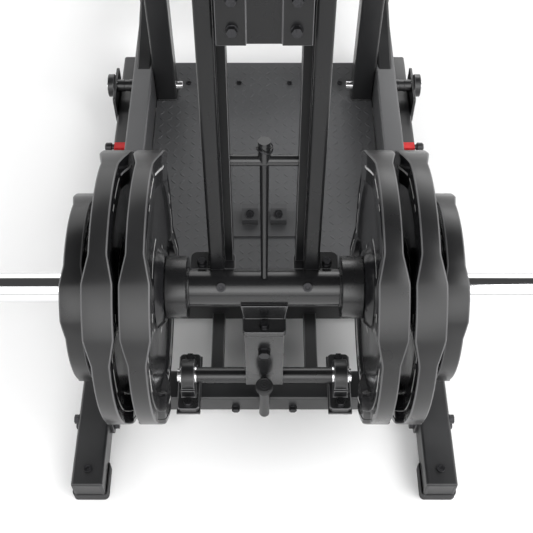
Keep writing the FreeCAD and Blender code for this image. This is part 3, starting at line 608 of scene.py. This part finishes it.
DECK_MARGIN = 12.0
FOOT_MARGIN = 24.0
BAR_SUNK = 0.0001
deck_low, deck_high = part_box("tread_deck")
deck_lay = Matrix.Translation(Vector(((deck_low[0] + deck_high[0]) / 2,
                                      (deck_low[1] + deck_high[1]) / 2, deck_high[2] - BAR_SUNK)))
deck_wide = (deck_high[0] - deck_low[0]) * 1000.0
deck_long = (deck_high[1] - deck_low[1]) * 1000.0
bracket_low, bracket_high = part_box("floor_bracket")
deck_mid = (deck_low[1] + deck_high[1]) / 2
bracket_hole = (bracket_low[0] * 1000.0 - DECK_MARGIN, bracket_high[0] * 1000.0 + DECK_MARGIN,
                (bracket_low[1] - deck_mid) * 1000.0 - DECK_MARGIN,
                (bracket_high[1] - deck_mid) * 1000.0 + DECK_MARGIN)
tread("deck_tread_bars", "base_frame", deck_lay, deck_wide, deck_long, 0.8, DECK_MARGIN,
      [bracket_hole])

# The leaning frame of the lever's arms, and the footplate's face in it.
LEVER_LEAN = math.radians(-6.5)
ARM_FOOT = at(0.0, 247.0, 387.0)
FOOT_WIDE, FOOT_TALL = 480.0, 340.0
FOOT_FACE, FOOT_MIDDLE = 0.0679, 0.640
arm_frame = Matrix.Translation(ARM_FOOT) @ Matrix.Rotation(LEVER_LEAN, 4, "X")
face_turn = Matrix(((-1, 0, 0, 0), (0, 0, 1, 0), (0, 1, 0, 0), (0, 0, 0, 1)))
foot_lay = arm_frame @ Matrix.Translation(Vector((0.0, FOOT_FACE, FOOT_MIDDLE))) @ face_turn
tread("footplate_tread_bars", "press_lever", foot_lay, FOOT_WIDE, FOOT_TALL, 0.9, FOOT_MARGIN)


# ---- grips ----


RIB_PITCH = 5.2
RIB_DROP = 0.5
GROOVE_DROP = 1.6
GRIP_CORE = 2.0


def ribbed_grip(name, centre, half, radius, body):
    """A moulded grip along Y with close ribs and a flange at each end."""
    ridge = radius - RIB_DROP
    groove = radius - GROOVE_DROP
    flange = [(-half, radius - 4.0), (-half + 0.8, radius - 0.8), (-half + 2.0, radius),
              (-half + 6.0, radius), (-half + 7.0, groove)]
    ribs = []
    place = -half + 9.0
    while place < half - 10.0:
        ribs += [(place, groove), (place + 0.8, ridge), (place + 2.8, ridge),
                 (place + 3.6, groove)]
        place += RIB_PITCH
    far_flange = [(-x, r) for x, r in reversed(flange)]
    outline = [(half, GRIP_CORE), (-half, GRIP_CORE)] + flange + ribs + far_flange
    profile = [(x / 1000.0, r / 1000.0) for x, r in outline]
    verts, faces = spin(profile, centre, 48, "Y")
    mesh = mesh_from(name, verts, faces, 35.0)
    return add_piece(name, mesh, [grip_rubber], body)


def domed_cap(name, centre, radius, way, body):
    """A low domed red end cap about the Y axis."""
    outline = [(-1.0, 1.0), (-1.0, radius), (1.0, radius), (2.2, radius - 1.0),
               (3.2, radius - 4.0), (3.8, radius * 0.4), (3.9, 1.0)]
    profile = [(way * x / 1000.0, r / 1000.0) for x, r in outline]
    verts, faces = spin(profile, centre, 40, "Y")
    add_piece(name, mesh_from(name, verts, faces, 35.0), [red_paint], body)


GRIP_SHORT = 4.5
CAP_PLACE = 4.0
CAP_SMALLER = 0.4
grip_low, grip_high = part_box("upright_grips")
grip_level = (grip_low[2] + grip_high[2]) / 2
grip_radius = (grip_high[2] - grip_low[2]) * 500.0
grip_half = (grip_high[1] - grip_low[1]) * 500.0
for side_name, sign in (("left", -1), ("right", 1)):
    middle = Vector((sign * (grip_high[0] - grip_radius / 1000.0),
                     (grip_low[1] + grip_high[1]) / 2, grip_level))
    ribbed_grip(side_name + "_upright_grip", middle, grip_half - GRIP_SHORT,
                                   grip_radius, "base_frame")
    for way, word in ((-1, "rear"), (1, "front")):
        end = middle + Vector((0.0, way * (grip_half - CAP_PLACE) / 1000.0, 0.0))
        domed_cap(side_name + "_grip_cap_" + word, end, grip_radius - CAP_SMALLER, way,
                  "base_frame")
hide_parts("upright_grips")


# ---- rear stop's ridged cap and the covers over the side tie shafts ----

STOP_TOP = at(0.0, 150.0, 154.0)
COVER_MIDDLE = 0.3195
cap_outline = [(0.0, 0.3), (0.0, 14.2), (0.8, 14.2), (1.4, 13.2), (1.4, 12.0), (0.5, 11.2),
               (0.5, 9.2), (1.6, 8.6), (1.6, 6.6), (0.7, 6.0), (0.7, 4.6), (2.2, 4.2),
               (2.2, 2.4), (0.9, 2.0), (0.9, 0.3)]
cap_profile = [(z / 1000.0, r / 1000.0) for z, r in cap_outline]
cap_verts, cap_faces = spin(cap_profile, Vector((0.0, 0.0, 0.0)), 40, "Y")
cap_lay = Matrix.Translation(STOP_TOP) @ Matrix.Rotation(math.radians(90), 4, "X")
cap_mesh = mesh_from("stop_cap", [cap_lay @ Vector(v) for v in cap_verts], cap_faces, 35.0)
add_piece("stop_cap", cap_mesh, [knob_plastic], "base_frame")

tie_low, tie_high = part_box("side_tie_shafts")
cover_outline = [(-22.3, 10.3), (-22.3, 13.2), (-21.5, 14.0), (-6.0, 14.0), (-5.2, 13.2),
                 (5.2, 13.2), (6.0, 14.0), (21.5, 14.0), (22.3, 13.2), (22.3, 10.3)]
cover_profile = [(x / 1000.0, r / 1000.0) for x, r in cover_outline]
for side_name, sign in (("left", -1), ("right", 1)):
    cover_centre = Vector((sign * COVER_MIDDLE, (tie_low[1] + tie_high[1]) / 2,
                           (tie_low[2] + tie_high[2]) / 2))
    cover_verts, cover_faces = spin(cover_profile, cover_centre, 40)
    add_piece(side_name + "_tie_cover",
              mesh_from(side_name + "_tie_cover", cover_verts, cover_faces, 35.0),
              [bearing_paint], "base_frame")


# ---- end plugs in the open tube ends ----


def end_plug(name, lay, width, height, body, corner=5.0):
    """A moulded plug: a rounded rectangle with a soft rim, a little proud of the tube."""
    verts = []
    faces = []
    rings = [(0.0, 0.4), (0.5, 1.6), (2.2, 2.4), (5.0, 2.4), (6.0, 1.9)]
    steps = 8
    for inset, level in rings:
        reach = max(corner - inset, 0.8)
        for quarter in range(4):
            cx = (width / 2 - inset - reach) * (1 if quarter in (0, 3) else -1)
            cy = (height / 2 - inset - reach) * (1 if quarter in (0, 1) else -1)
            for step in range(steps + 1):
                turn = math.pi / 2 * (quarter + step / steps)
                point = Vector((cx + reach * math.cos(turn), cy + reach * math.sin(turn), level))
                verts.append(lay @ (point / 1000.0))
    ring_count = 4 * (steps + 1)
    for ring in range(len(rings) - 1):
        for step in range(ring_count):
            a = ring * ring_count + step
            b = ring * ring_count + (step + 1) % ring_count
            faces.append((a, b, b + ring_count, a + ring_count))
    faces.append(tuple(range((len(rings) - 1) * ring_count, len(rings) * ring_count)))
    add_piece(name, mesh_from(name, verts, faces, 30.0), [cap_plastic], body)


RAIL_MIDDLE, RAIL_LEVEL, BEAM_FRONT = 314.0, 38.0, 1096.0
SIDE_BEAM_MIDDLE, SIDE_BEAM_START, SIDE_BEAM_LEVEL = 275.0, 560.0, 115.0
FOOT_BEAM_END, FOOT_BEAM_PLACE = 342.0, 1625.0
POST_MIDDLE, POST_PLACE, POST_TOP = 229.0, 970.0, 500.0
SLOPE_START = at(0.0, 947.0, 164.0)
SEAT_SLOPE = math.radians(14)
SEAT_RAIL_END = (0.274, 0.740, -0.025)
ARM_END = (0.0775, 0.030, 0.740)
slope_frame = Matrix.Translation(SLOPE_START) @ Matrix.Rotation(SEAT_SLOPE, 4, "X")
TO_REAR = Matrix.Rotation(math.radians(90), 4, "X")
TO_FRONT = Matrix.Rotation(math.radians(-90), 4, "X")
for side_name, sign in (("left", -1), ("right", 1)):
    rail_rear = Matrix.Translation(at(sign * RAIL_MIDDLE, 0.0, RAIL_LEVEL))
    rail_front = Matrix.Translation(at(sign * RAIL_MIDDLE, BEAM_FRONT, RAIL_LEVEL))
    beam_rear = Matrix.Translation(at(sign * SIDE_BEAM_MIDDLE, SIDE_BEAM_START, SIDE_BEAM_LEVEL))
    beam_front = Matrix.Translation(at(sign * SIDE_BEAM_MIDDLE, BEAM_FRONT, SIDE_BEAM_LEVEL))
    foot_end = Matrix.Translation(at(sign * FOOT_BEAM_END, FOOT_BEAM_PLACE, RAIL_LEVEL))
    post_top = Matrix.Translation(at(sign * POST_MIDDLE, POST_PLACE, POST_TOP))
    seat_x, seat_y, seat_z = SEAT_RAIL_END
    seat_end = slope_frame @ Matrix.Translation(Vector((sign * seat_x, seat_y, seat_z)))
    arm_x, arm_y, arm_z = ARM_END
    arm_end = arm_frame @ Matrix.Translation(Vector((sign * arm_x, arm_y, arm_z)))
    to_side = Matrix.Rotation(math.radians(90 * sign), 4, "Y")
    end_plug(side_name + "_rail_plug_rear", rail_rear @ TO_REAR, 55.0, 55.0, "base_frame")
    end_plug(side_name + "_rail_plug_front", rail_front @ TO_FRONT, 55.0, 55.0, "base_frame")
    end_plug(side_name + "_side_beam_plug_rear", beam_rear @ TO_REAR, 43.0, 97.0, "base_frame")
    end_plug(side_name + "_side_beam_plug_front", beam_front @ TO_FRONT, 43.0, 97.0, "base_frame")
    end_plug(side_name + "_seat_rail_plug", seat_end @ TO_FRONT, 33.0, 49.0, "base_frame")
    end_plug(side_name + "_arm_plug", arm_end, 24.0, 59.0, "press_lever", 4.0)
    end_plug(side_name + "_front_foot_plug", foot_end @ to_side, 55.0, 59.0, "base_frame")
    end_plug(side_name + "_upright_plug", post_top, 47.0, 49.0, "base_frame")


# ---- weld beads ----


RIPPLE_STEP = 0.0016


def weld(name, points, radius, body, slot):
    """A rippled bead of weld along a run of points, its radius in millimetres."""
    path = []
    for start, end in zip(points, points[1:]):
        steps = max(2, int((end - start).length / RIPPLE_STEP))
        path += [start.lerp(end, step / steps) for step in range(steps)]
    path.append(points[-1])
    radii = []
    for index in range(len(path)):
        ripple = 1.0 + 0.16 * math.sin(index * 2.0 * math.pi / 3.0) + 0.05 * random.random()
        radii.append(radius / 1000.0 * ripple)
    radii[0] *= 0.5
    radii[-1] *= 0.5
    verts, faces = sweep(path, radii, 8)
    add_piece(name, mesh_from(name, verts, faces, 70.0), [LOOK_OF_SLOT[slot]], body)


# Straight welds on the right side: the ends as (x, from the rear end, z), and the radius.
SIDE_WELDS = (
    ("deck_rear", (284.0, 372.3, 66.2), (284.0, 432.0, 66.2), 2.4, "base_frame"),
    ("upright", (206.0, 944.6, 70.6), (252.0, 944.6, 70.6), 2.6, "base_frame"),
    ("upright_inner", (204.8, 946.0, 70.6), (204.8, 994.0, 70.6), 2.6, "base_frame"),
    ("seat_rail", (256.6, 1005.0, 164.6), (256.6, 1092.0, 164.6), 2.4, "base_frame"),
    ("leg", (256.6, 1601.0, 66.6), (256.6, 1649.0, 66.6), 2.4, "base_frame"),
    ("leg_rear", (258.0, 1599.6, 66.6), (290.0, 1599.6, 66.6), 2.4, "base_frame"),
    ("arm_side", (90.5, 252.0, 372.6), (90.5, 283.0, 372.6), 2.2, "press_lever"),
    ("link_bar", (79.0, 228.4, 43.2), (103.0, 228.4, 43.2), 2.0, "base_frame"),
    ("bracket", (13.2, 572.6, 74.8), (46.8, 572.6, 74.8), 1.8, "base_frame"),
)
# Welds across the lever's middle: half the width, from the rear end, z.
MIDDLE_WELDS = (("neck_cap", 31.0, 165.4, 297.6), ("saddle", 33.0, 191.6, 310.6))
PAINT_OF_BODY = {"base_frame": "frame_paint", "press_lever": "lever_paint"}
COLLAR_FACE, COLLAR_WELD_RADIUS, COLLAR_WELD_STEPS = 124.4, 0.0312, 96
TUBE_PLACE, TUBE_LEVEL = 228.0, 350.0

for side_name, sign in (("left", -1), ("right", 1)):
    for weld_name, first, last, radius, body_name in SIDE_WELDS:
        ends = [at(sign * x, along, z) for x, along, z in (first, last)]
        weld(side_name + "_" + weld_name + "_weld", ends, radius, body_name,
             PAINT_OF_BODY[body_name])
for weld_name, half_width, place, level in MIDDLE_WELDS:
    ends = [at(-half_width, place, level), at(half_width, place, level)]
    weld(weld_name + "_weld", ends, 2.2, "press_lever", "lever_paint")
for side_name, sign in (("left", -1), ("right", 1)):
    ring_path = []
    tube_centre = at(sign * COLLAR_FACE, TUBE_PLACE, TUBE_LEVEL)
    for step in range(COLLAR_WELD_STEPS + 1):
        turn = 2.0 * math.pi * step / COLLAR_WELD_STEPS
        reach = Vector((0.0, math.cos(turn), math.sin(turn))) * COLLAR_WELD_RADIUS
        ring_path.append(tube_centre + reach)
    weld(side_name + "_collar_weld", ring_path, 1.8, "press_lever", "lever_paint")


# ---- band peg's wire ring ----

CROSSBAR_HEIGHT, PEG_RISE, PEG_PLACE = 0.1935, 0.024, 0.038
RING_RADIUS, RING_WAVE, WIRE_RADIUS, RING_STEPS = 0.0125, 0.003, 0.0011, 64
peg_level = CROSSBAR_HEIGHT + PEG_RISE
ring_points = []
for step in range(RING_STEPS):
    turn = 2.0 * math.pi * step / RING_STEPS
    spot = Vector((RING_RADIUS * math.cos(turn), PEG_PLACE + RING_RADIUS * math.sin(turn),
                   peg_level + RING_WAVE * math.sin(2.0 * turn)))
    ring_points.append(arm_frame @ spot)
ring_verts, ring_faces = sweep(ring_points, [WIRE_RADIUS] * RING_STEPS, 10, True)
add_piece("peg_wire_ring", mesh_from("peg_wire_ring", ring_verts, ring_faces, 70.0), [bolt_black],
          "press_lever")


# ---- cushions ----

# The slack cover against the filled pad, in millimetres.
SIDE_ROOM, SWELL_ROOM, COVER_CORNER, WELT_CORNER = 12.0, 13.0, 42.0, 48.0
# The filling, in metres but for the pressure and the frames.
VOXEL, PRESSURE, SWELL_CAP, HELD_BELOW, FILL_FRAMES = 0.006, 4.0, 0.010, 0.009, 20
# The crown, the channels and the seam, in metres but for the shares.
CROWN, CHANNEL_WIDTH, CHANNEL_DEPTH = 0.004, 0.0055, 0.0062
SEAM_SHARE, SEAM_WIDTH, SEAM_DEPTH, SIDE_SHARE = 0.70, 0.0035, 0.0022, 0.86
WELT_RADIUS, WELT_STEP = 0.0028, 0.012
STITCH_OFF, STITCH_MARGIN, STITCH_PITCH = 0.009, 0.040, 0.0075
STITCH_PART, THREAD_RADIUS = 0.0016, 0.0005


def rounded_outline(width, length, corner, steps):
    """Points round a rectangle with round corners."""
    points = []
    for quarter in range(4):
        cx = (width / 2 - corner) * (1 if quarter in (0, 3) else -1)
        cy = (length / 2 - corner) * (1 if quarter in (0, 1) else -1)
        for step in range(steps + 1):
            turn = math.pi / 2 * (quarter + step / steps)
            points.append((cx + corner * math.cos(turn), cy + corner * math.sin(turn)))
    return points


def blank_cushion(name, width, length, thick, corner):
    """The unfilled cover, in its own frame: base on Z = 0, everything in metres."""
    outline = rounded_outline(width, length, corner, 10)
    count = len(outline)
    levels = [(0.0, 4.0), (5.0, 0.0), (thick * 0.72, 0.0), (thick * 0.90, 5.0), (thick, 14.0)]
    verts = []
    faces = []
    for level, inset in levels:
        for x, y in outline:
            sx = (width / 2 - inset) / (width / 2)
            sy = (length / 2 - inset) / (length / 2)
            verts.append(Vector((x * sx, y * sy, level)) / 1000.0)
    for ring in range(len(levels) - 1):
        for step in range(count):
            a = ring * count + step
            b = ring * count + (step + 1) % count
            faces.append((a, b, b + count, a + count))
    faces.append(tuple(range(count))[::-1])
    faces.append(tuple(range((len(levels) - 1) * count, len(levels) * count)))
    mesh = bpy.data.meshes.new(name)
    mesh.from_pydata([tuple(v) for v in verts], [], faces)
    piece = bpy.data.objects.new(name, mesh)
    scene.collection.objects.link(piece)
    return piece


def applied(piece):
    """Leaves the piece with its modifiers' result as its own mesh."""
    bpy.context.view_layer.update()
    graph = bpy.context.evaluated_depsgraph_get()
    made = bpy.data.meshes.new_from_object(piece.evaluated_get(graph))
    piece.modifiers.clear()
    piece.data = made


def fill_with_air(piece, pressure, cap):
    """Swells the cover by cloth simulation, held along its base."""
    before = [v.co.copy() for v in piece.data.vertices]
    held = piece.vertex_groups.new(name="Held")
    held.add([i for i, co in enumerate(before) if co.z < HELD_BELOW], 1.0, "REPLACE")
    cloth = piece.modifiers.new("Fill", "CLOTH")
    cloth.settings.quality = 5
    cloth.settings.mass = 0.3
    cloth.settings.use_pressure = True
    cloth.settings.uniform_pressure_force = pressure
    cloth.settings.effector_weights.gravity = 0.0
    cloth.settings.vertex_group_mass = "Held"
    cloth.point_cache.frame_start = 1
    cloth.point_cache.frame_end = FILL_FRAMES
    for number in range(1, FILL_FRAMES + 1):
        scene.frame_set(number)
    graph = bpy.context.evaluated_depsgraph_get()
    after = [v.co.copy() for v in piece.evaluated_get(graph).data.vertices]
    piece.modifiers.clear()
    for vertex, old, new in zip(piece.data.vertices, before, after):
        move = new - old
        if move.length > cap:
            move = move.normalized() * cap
        vertex.co = old + move
    scene.frame_set(1)


def shape_cover(mesh, half_w, half_l, thick, seam_level, channels):
    """Crowns the top, sinks the sewn channels and pulls the sides in at the seam."""
    for vertex in mesh.vertices:
        co = vertex.co
        if co.z > seam_level + 0.002:
            crown = (1.0 - (co.x / half_w) ** 4) * (1.0 - (co.y / half_l) ** 4)
            co.z += CROWN * max(0.0, crown)
            for place in channels:
                reach = math.exp(-((co.y - place) / CHANNEL_WIDTH) ** 2)
                fade = min(1.0, max(0.0, (half_w - 0.030 - abs(co.x)) / 0.02))
                co.z -= CHANNEL_DEPTH * reach * fade
        gap = math.exp(-((co.z - seam_level) / SEAM_WIDTH) ** 2)
        outward = max(abs(co.x) / half_w, abs(co.y) / half_l)
        if outward > SIDE_SHARE:
            co.x -= math.copysign(SEAM_DEPTH * gap, co.x) * (abs(co.x) / half_w > SIDE_SHARE)
            co.y -= math.copysign(SEAM_DEPTH * gap, co.y) * (abs(co.y) / half_l > SIDE_SHARE)
        co.z = min(co.z, thick / 1000.0)
        co.x = max(-half_w, min(half_w, co.x))
        co.y = max(-half_l, min(half_l, co.y))


def welt_path(surface, width, length, seam_level):
    """Closely spaced points round the cover at its seam."""
    welt = []
    for x, y in rounded_outline(width, length, WELT_CORNER, 16):
        spot = surface.find_nearest(Vector((x, y, seam_level * 1000)) / 1000.0)[0]
        welt.append(Vector((spot.x, spot.y, seam_level)))
    dense = []
    for index, point in enumerate(welt):
        after = welt[(index + 1) % len(welt)]
        steps = max(1, int((after - point).length / WELT_STEP))
        for step in range(steps):
            spot = surface.find_nearest(point.lerp(after, step / steps))[0]
            dense.append(Vector((spot.x, spot.y, seam_level)))
    return dense


def stitch_rows(surface, half_w, thick, channels):
    """Points and faces of a row of stitches on each side of every channel."""
    verts = []
    faces = []
    for place in channels:
        for side in (-STITCH_OFF, STITCH_OFF):
            x = -half_w + STITCH_MARGIN
            while x < half_w - STITCH_MARGIN:
                run = []
                for step in range(4):
                    start = Vector((x + STITCH_PART * step, place + side, thick / 1000.0 + 0.05))
                    spot = surface.ray_cast(start, Vector((0, 0, -1)))[0]
                    lift = 0.0004 if step in (1, 2) else -0.0003
                    run.append(spot + Vector((0, 0, lift)))
                base = len(verts)
                more_verts, more_faces = sweep(run, [THREAD_RADIUS] * 4, 6)
                verts += more_verts
                faces += [tuple(base + i for i in face) for face in more_faces]
                x += STITCH_PITCH
    return verts, faces


def cushion(node, lay, width, length, thick, channels, body):
    """A filled seat or back pad with a welted seam, sewn channels and stitches."""
    slack_thick = thick - SWELL_ROOM
    piece = blank_cushion(node + "_cushion", width - SIDE_ROOM, length - SIDE_ROOM, slack_thick,
                          COVER_CORNER)
    remesh = piece.modifiers.new("Even", "REMESH")
    remesh.mode = "VOXEL"
    remesh.voxel_size = VOXEL
    applied(piece)
    fill_with_air(piece, PRESSURE, SWELL_CAP)
    piece.modifiers.new("Soft", "SUBSURF").levels = 1
    piece.modifiers["Soft"].render_levels = 1
    applied(piece)
    seam_level = SEAM_SHARE * slack_thick / 1000.0
    half_w = width / 2000.0
    half_l = length / 2000.0
    shape_cover(piece.data, half_w, half_l, thick, seam_level, channels)
    form = bmesh.new()
    form.from_mesh(piece.data)
    surface = BVHTree.FromBMesh(form)
    welt = welt_path(surface, width, length, seam_level)
    welt_verts, welt_faces = sweep(welt, [WELT_RADIUS] * len(welt), 10, True)
    stitch_verts, stitch_faces = stitch_rows(surface, half_w, thick, channels)
    form.free()
    for polygon in piece.data.polygons:
        polygon.use_smooth = True
    piece.data.transform(lay)
    piece.data.materials.clear()
    piece.data.materials.append(vinyl)
    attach(piece, body)
    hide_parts(node)
    welt_mesh = mesh_from(node + "_welt", [lay @ v for v in welt_verts], welt_faces, 70.0)
    add_piece(node + "_welt", welt_mesh, [vinyl], body)
    stitch_mesh = mesh_from(node + "_stitches", [lay @ v for v in stitch_verts], stitch_faces,
                            70.0)
    add_piece(node + "_stitches", stitch_mesh, [thread], body)


seat_low, seat_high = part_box("seat_pad")
PAD_GAP = 0.0005
seat_middle = (seat_low[1] + seat_high[1]) / 2
seat_lay = Matrix.Translation(Vector((0.0, seat_middle, seat_low[2] + PAD_GAP)))
cushion("seat_pad", seat_lay, 410.0, 320.0, 67.0, (-0.055, 0.055), "seat_carriage")
BACK_LEAN = math.radians(-40.0)
BACK_HINGE = at(0.0, 1524.0, 366.0)
BACK_BOARD, BACK_MIDDLE = 0.0105, 0.370
back_frame = Matrix.Translation(BACK_HINGE) @ Matrix.Rotation(BACK_LEAN, 4, "X")
pad_turn = Matrix(((1, 0, 0, 0), (0, 0, -1, 0), (0, 1, 0, 0), (0, 0, 0, 1)))
back_lay = back_frame @ Matrix.Translation(Vector((0.0, BACK_BOARD, BACK_MIDDLE))) @ pad_turn
cushion("back_pad", back_lay, 360.0, 600.0, 64.0, (-0.17, -0.03, 0.11), "seat_back")


# ---- floor, light and camera ----


def floor_material():
    material, tree, shader = new_material("floor", (0.89, 0.89, 0.89), 0.7)
    cloud = add_noise(tree, 1.5, 2.0)
    two_tones(tree, shader, cloud.outputs["Fac"], (0.88, 0.88, 0.88), (0.90, 0.90, 0.90))
    return material


floor_mesh = bpy.data.meshes.new("floor")
FLOOR_HALF = 30
floor_corners = [(-FLOOR_HALF, -FLOOR_HALF, 0), (FLOOR_HALF, -FLOOR_HALF, 0),
                 (FLOOR_HALF, FLOOR_HALF, 0), (-FLOOR_HALF, FLOOR_HALF, 0)]
floor_mesh.from_pydata(floor_corners, [], [(0, 1, 2, 3)])
floor_mesh.materials.append(floor_material())
floor = bpy.data.objects.new("floor", floor_mesh)
scene.collection.objects.link(floor)


def area_light(name, place, target, size, power):
    """A soft light aimed at a point, its size in metres and its power in watts."""
    data = bpy.data.lights.new(name, "AREA")
    data.shape = "RECTANGLE"
    data.size = size[0]
    data.size_y = size[1]
    data.energy = power
    lamp = bpy.data.objects.new(name, data)
    lamp.location = place
    way = Vector(target) - Vector(place)
    lamp.rotation_euler = way.to_track_quat("-Z", "Y").to_euler()
    scene.collection.objects.link(lamp)


area_light("key", (2.7, -1.9, 4.2), (0.0, -0.3, 0.2), (2.2, 2.2), 90.0)
area_light("rear_soft", (0.4, -3.3, 2.7), (0.0, -0.7, 0.1), (4.5, 2.6), 70.0)
area_light("front_soft", (1.4, 3.4, 2.4), (0.0, 0.3, 0.3), (2.4, 1.2), 25.0)

# Grey of the studio round the machine, from straight down (0) to straight up (1).
SKY_STOPS = ((0.07, 0.30), (0.12, 1.0), (0.69, 1.0), (0.77, 0.045))
SKY_BELOW, SKY_ABOVE, SKY_TOP = 0.30, 0.035, 0.90
SKY_STRENGTH = 1.9
world = bpy.data.worlds.new("studio")
world.use_nodes = True
sky_tree = world.node_tree
sky_place = sky_tree.nodes.new("ShaderNodeTexCoord")
sky_split = sky_tree.nodes.new("ShaderNodeSeparateXYZ")
sky_ramp = sky_tree.nodes.new("ShaderNodeValToRGB")
sky_ramp.color_ramp.elements[0].position = 0.0
sky_ramp.color_ramp.elements[0].color = (SKY_BELOW, SKY_BELOW, SKY_BELOW, 1.0)
sky_ramp.color_ramp.elements[1].position = SKY_TOP
sky_ramp.color_ramp.elements[1].color = (SKY_ABOVE, SKY_ABOVE, SKY_ABOVE, 1.0)
for spot, grey in SKY_STOPS:
    stop = sky_ramp.color_ramp.elements.new(spot)
    stop.color = (grey, grey, grey, 1.0)
sky_tree.links.new(sky_place.outputs["Generated"], sky_split.inputs["Vector"])
sky_tree.links.new(sky_split.outputs["Z"], sky_ramp.inputs["Fac"])
sky_tree.links.new(sky_ramp.outputs["Color"], sky_tree.nodes["Background"].inputs["Color"])
sky_tree.nodes["Background"].inputs["Strength"].default_value = SKY_STRENGTH
scene.world = world
scene.view_settings.view_transform = "Standard"

# Where the photograph was taken from, and how steeply it looks down.
CAMERA_PLACE = at(0.0, -616.3, 1610.5)
CAMERA_DOWN = 54.9
camera_data = bpy.data.cameras.new("camera")
camera_data.lens = 62.0
camera_data.sensor_width = 36.0
camera_data.shift_x = 0.0041
camera_data.clip_end = 100.0
camera = bpy.data.objects.new("camera", camera_data)
camera.location = CAMERA_PLACE
camera.rotation_euler = (math.radians(90.0 - CAMERA_DOWN), 0.0, 0.0)
scene.collection.objects.link(camera)
scene.camera = camera

bpy.context.view_layer.update()
